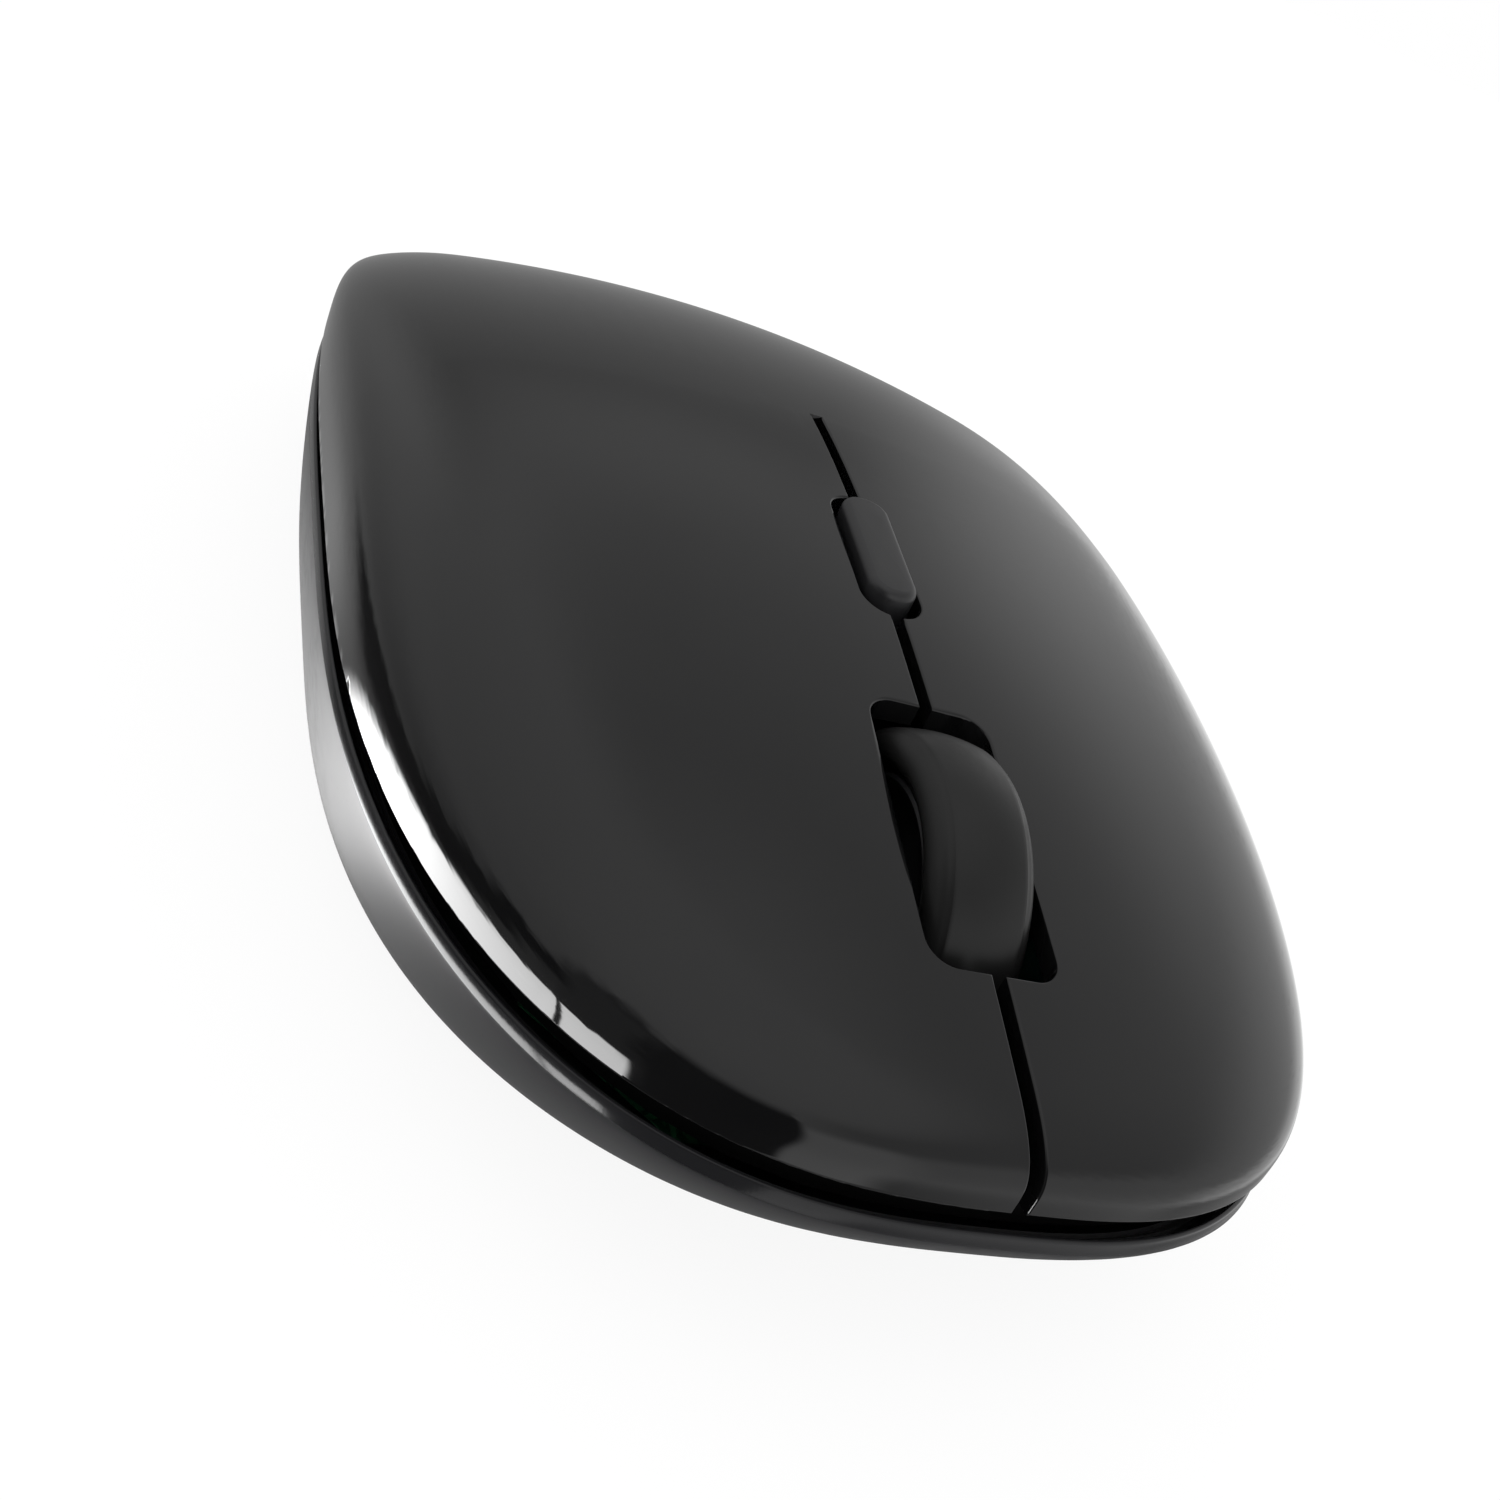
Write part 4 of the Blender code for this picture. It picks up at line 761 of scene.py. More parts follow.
def make_base():
    """Base tray with its bosses, battery bay, windows and foot pockets."""
    base = stack("base_tray", base_rings())
    root = FLOOR_Z - FLOOR / 3
    add_bay(base)
    for x, y, top in CASE_SCREWS:
        shape_with(base, upright("boss", (x, y), BOSS_RADIUS, root, top), "UNION")
        shape_with(base, sunk("counterbore", (x, y), (COUNTERBORE,) * 2, COUNTERBORE / 2,
                              COUNTERBORE_TOP))
        shape_with(base, upright("bore", (x, y), SCREW_BORE, 0, top + PAST_FLOOR))
    for side in (-1, 1):
        for x, y in (BOARD_SCREW, FRONT_POST):
            shape_with(base, upright("post", (side * x, y), POST_RADIUS, root, POST_TOP), "UNION")
        shape_with(base, upright("pilot", (side * BOARD_SCREW[0], BOARD_SCREW[1]), SCREW_BORE,
                                 FLOOR_Z, POST_TOP + GAP))
    pocket = (FOOT[0] + 2 * GAP, FOOT[1] + 2 * GAP)
    for centre in FEET.values():
        shape_with(base, sunk("pocket", centre, pocket, pocket[1] * FOOT_CORNER, FOOT_POCKET_TOP))
    shape_with(base, sunk("window", (0, SENSOR_Y), SENSOR_WINDOW, 0.001, FLOOR_Z + PAST_FLOOR))
    shape_with(base, sunk("slot", POWER_SLOT, POWER_OPENING, SQUARE, FLOOR_Z + PAST_FLOOR))
    return finish_shape(base)


# Underside --------------------------------------------------------------------------------

def circle(centre, radius, height, steps=48):
    """Ring of points around an upright axis."""
    turns = [math.tau * step / steps for step in range(steps)]
    return [(centre[0] + radius * math.cos(turn), centre[1] + radius * math.sin(turn), height)
            for turn in turns]


def make_foot(node):
    """Glide foot with its lower rim rounded off by use."""
    low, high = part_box(node)
    return finish_shape(pad(node + "_pad", FEET[node], FOOT, FOOT[1] * FOOT_CORNER,
                            rounded_levels(low.z, high.z, 0.00028, 0.00008)))


def make_screw(node):
    """Case screw: pan head with a cross recess, and a threaded shank."""
    low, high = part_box(node)
    centre = ((low.x + high.x) / 2, (low.y + high.y) / 2)
    neck = low.z + SCREW_HEAD[1]
    levels = [(SCREW_HEAD[0] - inset, low.z + rise) for inset, rise in HEAD_ROUND]
    levels += [(SCREW_HEAD[0], neck - HEAD_EASE[1]), (SCREW_HEAD[0] - HEAD_EASE[0], neck),
               (SCREW_CORE, neck)]
    height = neck
    while height < high.z - 2 * SCREW_TIP[1]:
        levels += [(radius, height + rise) for radius, rise in THREAD]
        height += THREAD_PITCH
    levels += [(SCREW_CORE, high.z - SCREW_TIP[1]), (SCREW_TIP[0], high.z)]
    screw = stack(node + "_screw", [circle(centre, radius, z) for radius, z in levels])
    for size in (CROSS, CROSS[::-1]):
        carve(screw, "recess", centre, size, 0.0001, low.z, CROSS_MOUTH)
    return finish_shape(screw, 30)


def make_door():
    """Battery door: rounded rear edge, finger notch and a patch of grip grooves."""
    low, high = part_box("battery_door")
    radius = (high.z - low.z) / 2
    side = [(low.y, low.z + DOOR_EASE), (low.y + DOOR_EASE, low.z)]
    for step in range(13):
        turn = math.pi * step / 12 - math.pi / 2
        side.append((high.y - radius + radius * math.cos(turn), low.z + radius + radius * math.sin(turn)))
    side += [(low.y + DOOR_EASE, high.z), (low.y, high.z - DOOR_EASE)]
    middle = (low.z + high.z) / 2
    rings = []
    for x, drawn in ((low.x, DOOR_TAPER), (low.x + DOOR_EASE, 1),
                     (high.x - DOOR_EASE, 1), (high.x, DOOR_TAPER)):
        rings.append([(x, y, middle + (z - middle) * drawn) for y, z in side])
    door = stack("battery_hatch", rings)
    notch = [*NOTCH_MOUTH, (-0.0002, middle - low.z)]
    start, pitch, width, loss = DOOR_GRIP
    carve(door, "notch", (0, low.y), (width, 0.0024), 0.0010, low.z, notch)
    for row in range(7):
        size = (width - loss * row, 0.0003)
        carve(door, "groove", (0, low.y + start + pitch * row), size, 0.00014, low.z, DOOR_GROOVE)
    return finish_shape(door, 30)


def make_knob():
    """Knob of the power switch, with ridges across its face."""
    low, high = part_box("power_knob")
    centre = ((low.x + high.x) / 2, (low.y + high.y) / 2)
    size = (high.x - low.x, high.y - low.y)
    knob = pad("power_slider", centre, size, 0.00035, rounded_levels(low.z, high.z, 0.00018, 0.0001))
    for row in (-1.5, -0.5, 0.5, 1.5):
        spot = (centre[0], centre[1] + row * 0.00062)
        carve(knob, "groove", spot, (0.0040, 0.00026), 0.00012, low.z, KNOB_GROOVE)
    return finish_shape(knob, 30)


def make_lens():
    """Clear sensor lens: flange, barrel, and the two windows in its lower face."""
    low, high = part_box("sensor_lens")
    size = (high.x - low.x, high.y - low.y)
    flange = high.z - LENS_FLANGE
    lens = pad("optic_lens", (0, SENSOR_Y), size, 0.0008,
               rounded_levels(flange, high.z, LENS_ROUND, LENS_ROUND))
    barrel = pad("barrel", (0, SENSOR_Y), LENS_BARREL, 0.0007,
                 rounded_levels(low.z, flange + GAP, 2 * LENS_ROUND, LENS_ROUND))
    shape_with(lens, barrel, "UNION")
    radius, draw, rise = BOWL
    bowl = [circle((0, BOWL_Y), radius - draw * step * step / 4, low.z - LENS_ROUND + rise * step)
            for step in range(5)]
    shape_with(lens, stack("bowl", bowl))
    carve(lens, "prism", (0, PRISM_Y), PRISM, 0.0003, low.z, PRISM_MOUTH)
    return finish_shape(lens, 30)


# Wheel ------------------------------------------------------------------------------------

def make_tyre():
    """Crowned rubber tyre: broad tread, a crisp soft edge and long rounded flanks."""
    edge = WHEEL_WIDTH / 2
    half = [(TYRE_SEAT + rise, edge - inset) for rise, inset in TYRE_BEAD]
    low, high = TYRE_SEAT + TYRE_BEAD_END, WHEEL_RADIUS - FLANK[1]
    for step in range(PROFILE_STEPS + 1):
        turn = FLANK_TURN * step / PROFILE_STEPS
        half.append((low + (high - low) * math.sin(turn) / math.sin(FLANK_TURN),
                     edge - FLANK[0] * (1 - math.cos(turn)) / (1 - math.cos(FLANK_TURN))))
    inner = edge - FLANK[0] - EDGE_WIDTH
    half.append((high + EDGE_FALL, inner + EDGE_WIDTH / 4))
    for step in range(PROFILE_STEPS + 1):
        share = 1 - step / PROFILE_STEPS
        half.append((WHEEL_RADIUS - TREAD_FALL * share * share, inner * share))
    profile = half + [(radius, -offset) for radius, offset in reversed(half[:-1])]
    return spun("tyre", profile, WHEEL)


def make_hub():
    """Wheel hub: a rim, a smoothly dished web and a collar around the bore."""
    edge = WHEEL_WIDTH / 2 - HUB_RECESS
    half = [(AXLE_BORE, edge - HUB_CHAMFER), (AXLE_BORE + HUB_CHAMFER, edge),
            (AXLE_BORE + COLLAR[0], edge), (AXLE_BORE + COLLAR[1], edge - 2 * HUB_CHAMFER)]
    inner, outer = AXLE_BORE + COLLAR[2], HUB_RIM - HUB_BAND
    for step in range(WEB_STEPS + 1):
        share = step / WEB_STEPS
        dish = WEB[0] + (edge - WEB[1]) * abs(2 * share - 1) ** WEB[2]
        half.append((inner + (outer - inner) * share, dish))
    half += [(HUB_RIM - 4 * HUB_CHAMFER, edge - HUB_CHAMFER), (HUB_RIM - 2 * HUB_CHAMFER, edge),
             (HUB_RIM, edge - HUB_CHAMFER)]
    profile = half + [(radius, -offset) for radius, offset in reversed(half)]
    return spun("hub", profile, WHEEL, steps=128)


# Speed button -----------------------------------------------------------------------------

def make_button():
    """Speed button: crowned cap with rounded rims, retaining flange and stem."""
    bottom = crown_height(0, BUTTON_Y) - BUTTON_DEPTH
    rings = [[(x, y, bottom) for x, y in loop((0, BUTTON_Y), BUTTON, BUTTON_CORNER)]]
    for step in range(ROUND_STEPS + 3):
        turn = math.pi / 2 * step / (ROUND_STEPS + 2)
        offset = -BUTTON_ROUND * (1 - math.cos(turn))
        drop = BUTTON_ROUND * (1 - math.sin(turn))
        rings.append([(x, y, crown_height(x, y) + BUTTON_PROUD - drop)
                      for x, y in loop((0, BUTTON_Y), BUTTON, BUTTON_CORNER, offset)])
    top = loop((0, BUTTON_Y), BUTTON, BUTTON_CORNER, -BUTTON_ROUND)
    for share in (0.35, 0.7, 0.95):
        ring = [(x * (1 - share), BUTTON_Y + (y - BUTTON_Y) * (1 - share)) for x, y in top]
        rings.append([(x, y, crown_height(x, y) + BUTTON_PROUD) for x, y in ring])
    cap = stack("speed_button", rings)
    lowest = min(crown_height(FLANGE[0] / 2, BUTTON_Y + side * FLANGE[1] / 2) for side in (-1, 1))
    seat = lowest - SHELL_WALL - GAP
    shape_with(cap, pad("flange", (0, BUTTON_Y), FLANGE[:2], FLANGE[0] * 0.4,
                        rounded_levels(seat - FLANGE[2], seat, 0.0001, 0.0001)), "UNION")
    shape_with(cap, upright("stem", (0, BUTTON_Y), STEM_RADIUS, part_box("dpi_button")[0].z,
                            seat - FLANGE[2] / 2), "UNION")
    return finish_shape(cap)


# Materials --------------------------------------------------------------------------------

def new_material(name):
    """A material with its node tree and its main shader."""
    material = bpy.data.materials.new(name)
    material.use_nodes = True
    tree = material.node_tree
    return material, tree, tree.nodes["Principled BSDF"]


def feed(tree, target, source):
    """Set a socket to a number or a shade, or link it to another socket."""
    if isinstance(source, (int, float)):
        target.default_value = source
    elif isinstance(source, tuple):
        target.default_value = (*source, 1)
    else:
        tree.links.new(source, target)


def calc(tree, operation, first, second=0.0, third=0.0):
    """One step of arithmetic on numbers or sockets."""
    step = tree.nodes.new("ShaderNodeMath")
    step.operation = operation
    for target, source in zip(step.inputs, (first, second, third)):
        feed(tree, target, source)
    return step.outputs[0]


def spread(tree, value, low, high, start=0.0, end=1.0, kind="LINEAR"):
    """Stretch a value from one range to another."""
    step = tree.nodes.new("ShaderNodeMapRange")
    step.interpolation_type = kind
    feed(tree, step.inputs["Value"], value)
    feed(tree, step.inputs["From Min"], low)
    feed(tree, step.inputs["From Max"], high)
    feed(tree, step.inputs["To Min"], start)
    feed(tree, step.inputs["To Max"], end)
    return step.outputs["Result"]


def smooth_step(tree, value, low, high):
    """0 before low and 1 after high, with a soft change between."""
    if low < high:
        return spread(tree, value, low, high, kind="SMOOTHSTEP")
    return calc(tree, "SUBTRACT", 1.0, spread(tree, value, high, low, kind="SMOOTHSTEP"))


def place_on(tree, scale=(1, 1, 1)):
    """Object coordinates, stretched by a scale."""
    place = tree.nodes.new("ShaderNodeTexCoord")
    turn = tree.nodes.new("ShaderNodeMapping")
    turn.inputs["Scale"].default_value = scale
    tree.links.new(place.outputs["Object"], turn.inputs["Vector"])
    return turn.outputs["Vector"]


def noise(tree, vector, scale, detail=2.0, roughness=0.5):
    """Noise value at a scale given in cycles a metre."""
    step = tree.nodes.new("ShaderNodeTexNoise")
    tree.links.new(vector, step.inputs["Vector"])
    feed(tree, step.inputs["Scale"], scale)
    step.inputs["Detail"].default_value = detail
    step.inputs["Roughness"].default_value = roughness
    return step.outputs["Fac"]


def start_group(name, inputs, outputs):
    """A shader node group with number sockets."""
    group = bpy.data.node_groups.new(name, "ShaderNodeTree")
    for label, value in inputs:
        socket = group.interface.new_socket(name=label, in_out="INPUT", socket_type="NodeSocketFloat")
        socket.default_value = value
    for label in outputs:
        group.interface.new_socket(name=label, in_out="OUTPUT", socket_type="NodeSocketFloat")
    return group, group.nodes.new("NodeGroupInput"), group.nodes.new("NodeGroupOutput")


def grain_group():
    """Fine moulded or eroded grain: Height for a bump."""
    group, given, result = start_group("moulded_grain", (("Scale", 3000.0),), ("Height",))
    place = place_on(group)
    fine = noise(group, place, given.outputs["Scale"], 3.0, 0.55)
    cells = group.nodes.new("ShaderNodeTexVoronoi")
    group.links.new(place, cells.inputs["Vector"])
    group.links.new(given.outputs["Scale"], cells.inputs["Scale"])
    height = calc(group, "MULTIPLY_ADD", cells.outputs["Distance"], 0.6, fine)
    group.links.new(height, result.inputs["Height"])
    return group


def mottle_group():
    """Slow unevenness of colour: Tone from 0 to 1."""
    group, given, result = start_group("mottle", (("Scale", 60.0),), ("Tone",))
    place = place_on(group)
    slow = noise(group, place, given.outputs["Scale"], 4.0, 0.6)
    group.links.new(smooth_step(group, slow, 0.3, 0.7), result.inputs["Tone"])
    return group


def marks_group():
    """Faint handling marks: Smear where a surface has been touched, and Dust in specks."""
    group, given, result = start_group("handling", (("Smear Scale", 70.0), ("Dust Scale", 900.0)),
                                       ("Smear", "Dust"))
    place = place_on(group)
    slow = noise(group, place, given.outputs["Smear Scale"], 2.0, 0.5)
    streaks = noise(group, place_on(group, (1, 0.35, 1)), 900.0, 3.0, 0.6)
    patch = smooth_step(group, slow, 0.47, 0.68)
    smear = calc(group, "MULTIPLY", patch, smooth_step(group, streaks, 0.35, 0.75))
    specks = group.nodes.new("ShaderNodeTexVoronoi")
    group.links.new(place, specks.inputs["Vector"])
    group.links.new(given.outputs["Dust Scale"], specks.inputs["Scale"])
    dust = smooth_step(group, specks.outputs["Distance"], 0.10, 0.03)
    group.links.new(smear, result.inputs["Smear"])
    group.links.new(dust, result.inputs["Dust"])
    return group


def hairline_group():
    """Fine lines along Y: Line for roughness and bump."""
    group, given, result = start_group("hairlines", (("Scale", 5000.0),), ("Line",))
    place = place_on(group, (1, 0.02, 1))
    lines = noise(group, place, given.outputs["Scale"], 2.0, 0.6)
    group.links.new(smooth_step(group, lines, 0.3, 0.7), result.inputs["Line"])
    return group


def use_group(tree, group, **values):
    """Place a node group in a material and give its inputs their values."""
    step = tree.nodes.new("ShaderNodeGroup")
    step.node_tree = group
    for label, value in values.items():
        step.inputs[label.replace("_", " ")].default_value = value
    return step.outputs


def two_tone(tree, mask, dark, light):
    """Colour between two shades or two other colours."""
    step = tree.nodes.new("ShaderNodeMix")
    step.data_type = "RGBA"
    feed(tree, step.inputs["Factor"], mask)
    for target, colour in zip([item for item in step.inputs if item.type == "RGBA"], (dark, light)):
        feed(tree, target, colour)
    return [item for item in step.outputs if item.type == "RGBA"][0]


def bump(tree, shader, height, depth, strength=1.0):
    """Raise a surface's shading by a height pattern of a depth in metres."""
    step = tree.nodes.new("ShaderNodeBump")
    step.inputs["Strength"].default_value = strength
    step.inputs["Distance"].default_value = depth
    tree.links.new(height, step.inputs["Height"])
    tree.links.new(step.outputs["Normal"], shader.inputs["Normal"])


def moulded(name):
    """Moulded finish: mottled colour, touched patches, and a fine grain."""
    dark, light, roughness, grain, depth, specular = MOULDED[name]
    material, tree, shader = new_material(name)
    tone = use_group(tree, GROUPS["mottle"])["Tone"]
    tree.links.new(two_tone(tree, tone, dark, light), shader.inputs["Base Color"])
    marks = use_group(tree, GROUPS["handling"])
    shift = calc(tree, "MULTIPLY_ADD", marks["Dust"], 0.4, marks["Smear"])
    tree.links.new(spread(tree, shift, 0, 1, *roughness), shader.inputs["Roughness"])
    bump(tree, shader, use_group(tree, GROUPS["grain"], Scale=grain)["Height"], depth)
    shader.inputs["Specular IOR Level"].default_value = specular
    return material


def polished(name):
    """Piano black gloss with a trace of orange peel, hairlines and finger smears."""
    material, tree, shader = new_material(name)
    tone = use_group(tree, GROUPS["mottle"])["Tone"]
    tree.links.new(two_tone(tree, tone, (0.0022, 0.0022, 0.0024), (0.0034, 0.0034, 0.0036)),
                   shader.inputs["Base Color"])
    marks = use_group(tree, GROUPS["handling"])
    lines = use_group(tree, GROUPS["hairlines"], Scale=2600.0)["Line"]
    wear = calc(tree, "MULTIPLY_ADD", lines, 0.25, calc(tree, "MAXIMUM", marks["Smear"], marks["Dust"]))
    tree.links.new(spread(tree, wear, 0, 1.25, 0.045, 0.085), shader.inputs["Roughness"])
    peel = noise(tree, place_on(tree), 300.0, 0.0)
    bump(tree, shader, peel, 0.0000004, 0.3)
    return material


def tray_satin(name):
    """Satin base plastic, with a polished band along its rim below the shadow groove."""
    material = moulded(name)
    tree = material.node_tree
    shader = tree.nodes["Principled BSDF"]
    place = tree.nodes.new("ShaderNodeSeparateXYZ")
    tree.links.new(place_on(tree), place.inputs[0])
    share = calc(tree, "DIVIDE", place.outputs["Y"], REAR)
    line = calc(tree, "MULTIPLY_ADD", calc(tree, "MULTIPLY", share, share), PARTING_LIFT,
                calc(tree, "MULTIPLY_ADD", share, PARTING_TILT, PARTING_Z - GROOVE - RIM_BAND))
    above = calc(tree, "SUBTRACT", place.outputs["Z"], line)
    band = smooth_step(tree, above, -0.00005, 0.00005)
    satin = shader.inputs["Roughness"].links[0].from_socket
    polish = calc(tree, "MULTIPLY", band, calc(tree, "SUBTRACT", RIM_BAND_ROUGHNESS, satin))
    tree.links.new(calc(tree, "ADD", satin, polish), shader.inputs["Roughness"])
    return material


def metal(name, dark, light, roughness):
    """Drawn or plated metal with fine lines."""
    material, tree, shader = new_material(name)
    lines = use_group(tree, GROUPS["hairlines"])["Line"]
    tone = use_group(tree, GROUPS["mottle"], Scale=400.0)["Tone"]
    tree.links.new(two_tone(tree, tone, dark, light), shader.inputs["Base Color"])
    tree.links.new(spread(tree, lines, 0, 1, *roughness), shader.inputs["Roughness"])
    shader.inputs["Metallic"].default_value = 1.0
    bump(tree, shader, lines, 0.000002)
    return material


def circuit_board(name):
    """Green solder mask, lighter and smoother over the tracks beneath it."""
    material, tree, shader = new_material(name)
    place = place_on(tree)
    cells = tree.nodes.new("ShaderNodeTexVoronoi")
    cells.distance = "MANHATTAN"
    cells.feature = "F1"
    tree.links.new(place, cells.inputs["Vector"])
    cells.inputs["Scale"].default_value = 330.0
    rings = calc(tree, "PINGPONG", cells.outputs["Distance"], 0.16)
    track = smooth_step(tree, rings, 0.055, 0.085)
    green = two_tone(tree, track, (0.004, 0.060, 0.022), (0.016, 0.130, 0.050))
    tree.links.new(green, shader.inputs["Base Color"])
    tree.links.new(spread(tree, track, 0, 1, 0.42, 0.30), shader.inputs["Roughness"])
    bump(tree, shader, track, 0.00003)
    return material


def lens_glass(name):
    """Clear polycarbonate, faintly hazed."""
    material, tree, shader = new_material(name)
    tone = use_group(tree, GROUPS["mottle"], Scale=300.0)["Tone"]
    tree.links.new(two_tone(tree, tone, (0.80, 0.84, 0.87), (0.90, 0.93, 0.95)),
                   shader.inputs["Base Color"])
    tree.links.new(spread(tree, tone, 0, 1, 0.03, 0.09), shader.inputs["Roughness"])
    shader.inputs["Transmission Weight"].default_value = 0.85
    shader.inputs["IOR"].default_value = 1.58
    return material


def cell_sleeve(name):
    """Battery sleeve in two colours, dark in front and blue behind."""
    material, tree, shader = new_material(name)
    place = tree.nodes.new("ShaderNodeSeparateXYZ")
    tree.links.new(place_on(tree), place.inputs[0])
    behind = smooth_step(tree, place.outputs["Y"], *SLEEVE_JOIN_Y)
    tone = use_group(tree, GROUPS["mottle"], Scale=180.0)["Tone"]
    dark_end = two_tone(tree, tone, (0.012, 0.014, 0.018), (0.020, 0.022, 0.028))
    light_end = two_tone(tree, tone, (0.075, 0.130, 0.260), (0.110, 0.170, 0.320))
    tree.links.new(two_tone(tree, behind, dark_end, light_end), shader.inputs["Base Color"])
    tree.links.new(spread(tree, tone, 0, 1, 0.22, 0.34), shader.inputs["Roughness"])
    bump(tree, shader, use_group(tree, GROUPS["grain"], Scale=700.0)["Height"], 0.000006)
    return material


def make_finishes():
    """Every finish of the record, by the name of its slot."""
    finishes = {name: moulded(name) for name in MOULDED if name != "base_black"}
    finishes["base_black"] = tray_satin("base_black")
    finishes["gloss_black"] = polished("gloss_black")
    finishes["board_green"] = circuit_board("board_green")
    finishes["clear_lens"] = lens_glass("clear_lens")
    finishes["cell_wrap"] = cell_sleeve("cell_wrap")
    finishes["steel"] = metal("steel", (0.42, 0.42, 0.43), (0.58, 0.58, 0.59), (0.22, 0.38))
    finishes["spring_steel"] = metal("spring_steel", (0.54, 0.53, 0.50), (0.66, 0.65, 0.62), (0.20, 0.32))
    return finishes


# Stage ------------------------------------------------------------------------------------

def make_camera():
    """Camera high over the front and the right key's side, rolled about its own axis."""
    azimuth, elevation, roll = CAMERA_TURN
    distance, across, along = CAMERA_PLACE
    ahead = Vector((-math.sin(azimuth) * math.cos(elevation),
                    math.cos(azimuth) * math.cos(elevation), -math.sin(elevation)))
    side = ahead.cross(Vector((0, 0, 1))).normalized()
    up = side.cross(ahead)
    right = math.cos(roll) * side + math.sin(roll) * up
    top = -math.sin(roll) * side + math.cos(roll) * up
    spot = (-ahead * distance + right * across + top * along) * CAMERA_PART
    spot.z += PARTING_Z
    camera = bpy.data.objects.new("camera", bpy.data.cameras.new("camera"))
    camera.matrix_world = Matrix(((right.x, top.x, -ahead.x, spot.x),
                                  (right.y, top.y, -ahead.y, spot.y),
                                  (right.z, top.z, -ahead.z, spot.z), (0, 0, 0, 1)))
    camera.data.lens = CAMERA_LENS
    camera.data.sensor_width = 36
    camera.data.clip_start = 0.001
    bpy.context.scene.collection.objects.link(camera)
    bpy.context.scene.camera = camera


def make_floor():
    """Plain pale floor with only a breath of shadow, clear when seen from below."""
    rest()
    bpy.ops.mesh.primitive_plane_add(size=8, location=(0, 0, -0.00001))
    floor = name_new("floor")
    material, tree, shader = new_material("floor_white")
    shader.inputs["Base Color"].default_value = (0.10, 0.10, 0.10, 1)
    shader.inputs["Roughness"].default_value = 0.9
    shader.inputs["Specular IOR Level"].default_value = 0.1
    shader.inputs["Emission Color"].default_value = (1, 1, 1, 1)
    shader.inputs["Emission Strength"].default_value = 0.90
    side = tree.nodes.new("ShaderNodeNewGeometry")
    clear = tree.nodes.new("ShaderNodeBsdfTransparent")
    choice = tree.nodes.new("ShaderNodeMixShader")
    tree.links.new(side.outputs["Backfacing"], choice.inputs[0])
    tree.links.new(shader.outputs[0], choice.inputs[1])
    tree.links.new(clear.outputs[0], choice.inputs[2])
    tree.links.new(choice.outputs[0], tree.nodes["Material Output"].inputs["Surface"])
    floor.data.materials.append(material)
    floor.visible_glossy = False


def card(tree, studio, azimuth, elevation, brightness, halves, edges):
    """Lay a soft card over the studio's brightness, around a direction given in degrees."""
    azimuth_now, elevation_now, level = studio
    aside = calc(tree, "WRAP", calc(tree, "SUBTRACT", azimuth_now, azimuth), 180.0, -180.0)
    across = smooth_step(tree, calc(tree, "ABSOLUTE", aside), halves[0] + edges[0], halves[0])
    height = calc(tree, "ABSOLUTE", calc(tree, "SUBTRACT", elevation_now, elevation))
    along = smooth_step(tree, height, halves[1] + edges[1], halves[1])
    mask = calc(tree, "MULTIPLY", across, along)
    change = calc(tree, "SUBTRACT", brightness, level)
    return azimuth_now, elevation_now, calc(tree, "MULTIPLY_ADD", mask, change, level)


def studio_level(tree):
    """Brightness that glossy surfaces see around them, by direction."""
    direction = tree.nodes.new("ShaderNodeTexCoord")
    parts = tree.nodes.new("ShaderNodeSeparateXYZ")
    tree.links.new(direction.outputs["Generated"], parts.inputs[0])
    azimuth = calc(tree, "DEGREES", calc(tree, "ARCTAN2", parts.outputs["X"], parts.outputs["Y"]))
    elevation = calc(tree, "DEGREES", calc(tree, "ARCSINE", parts.outputs["Z"]))
    level = STUDIO_LOW
    for low, high, rise in (ROOF_RISE, WALL_RISE):
        level = calc(tree, "MULTIPLY_ADD", smooth_step(tree, elevation, low, high), rise, level)
    studio = (azimuth, elevation, level)
    for step in CARDS:
        studio = card(tree, studio, *step)
    return studio[2]


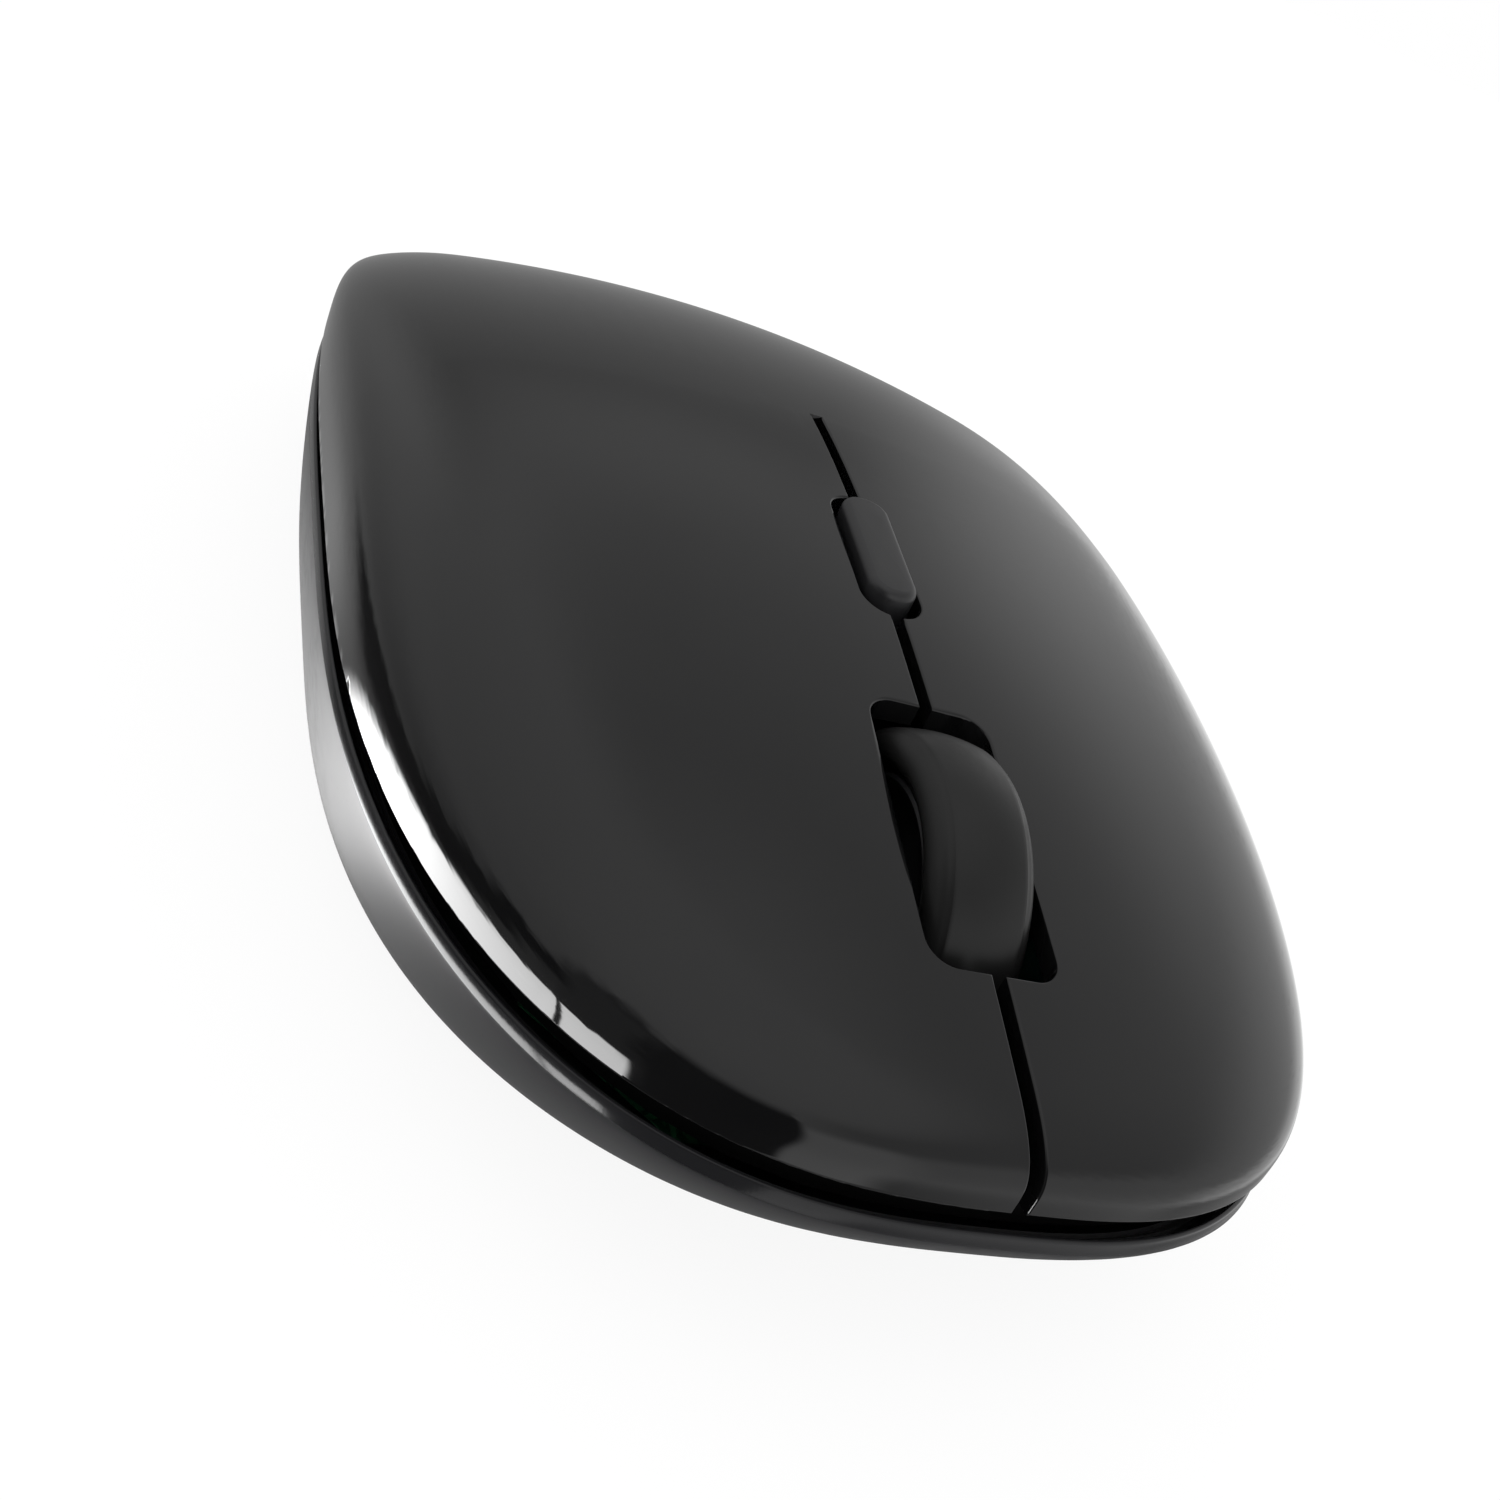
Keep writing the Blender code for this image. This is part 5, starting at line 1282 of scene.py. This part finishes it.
def make_world():
    """White surroundings, with a softly graded studio for glossy surfaces."""
    world = bpy.data.worlds.new("studio")
    bpy.context.scene.world = world
    world.use_nodes = True
    world.cycles.sampling_method = "NONE"
    tree = world.node_tree
    background = tree.nodes["Background"]
    background.inputs["Color"].default_value = (1, 1, 1, 1)
    path = tree.nodes.new("ShaderNodeLightPath")
    glossy = path.outputs["Is Glossy Ray"]
    camera = path.outputs["Is Camera Ray"]
    around_white = calc(tree, "MULTIPLY_ADD", camera, 1.0 - AMBIENT, AMBIENT)
    difference = calc(tree, "SUBTRACT", studio_level(tree), around_white)
    strength = calc(tree, "MULTIPLY_ADD", glossy, difference, around_white)
    tree.links.new(strength, background.inputs["Strength"])


# Assembly ---------------------------------------------------------------------------------

def install(item, nodes, slot, body):
    """Give a piece its finish, its slot and the body it moves with, unless it is to be blended."""
    item.data.materials.clear()
    item.data.materials.append(FINISHES[slot])
    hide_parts(*nodes)
    if body:
        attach(item, body)


def dress_frame():
    """Give every carried-over CAD node the finish of its slot."""
    for part in frame["record"]["subparts"]:
        node = frame["nodes"][part["node"]]
        node.data.materials.clear()
        node.data.materials.append(FINISHES[part["material_slot"]])


make_camera()
make_floor()
make_world()
bpy.context.scene.view_settings.view_transform = "Standard"

GROUPS = {"grain": grain_group(), "mottle": mottle_group(), "handling": marks_group(),
          "hairlines": hairline_group()}
FINISHES = make_finishes()
dress_frame()

palm, right_key, left_key = make_shell()
install(palm, ["palm_cover"], "gloss_black", "casing")
for item, body in ((left_key, "left_key"), (right_key, "right_key")):
    install(item, [body], "gloss_black", None)
    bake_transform(item)

install(make_base(), ["base_shell"], "base_black", "casing")
install(finish_shape(make_tyre()), ["wheel_tyre"], "rubber_black", "wheel")
install(finish_shape(make_hub()), ["wheel_hub"], "hub_grey", "wheel")
install(make_button(), ["dpi_button"], "button_black", "dpi_button")
install(make_door(), ["battery_door"], "door_black", "battery_door")
install(make_knob(), ["power_knob"], "button_black", "power_knob")
install(make_lens(), ["sensor_lens"], "clear_lens", "casing")
for node in FEET:
    install(make_foot(node), [node], "foot_grey", "casing")
for node in ("front_screw_left", "front_screw_right", "rear_screw_left", "rear_screw_right"):
    install(make_screw(node), [node], "steel", "casing")
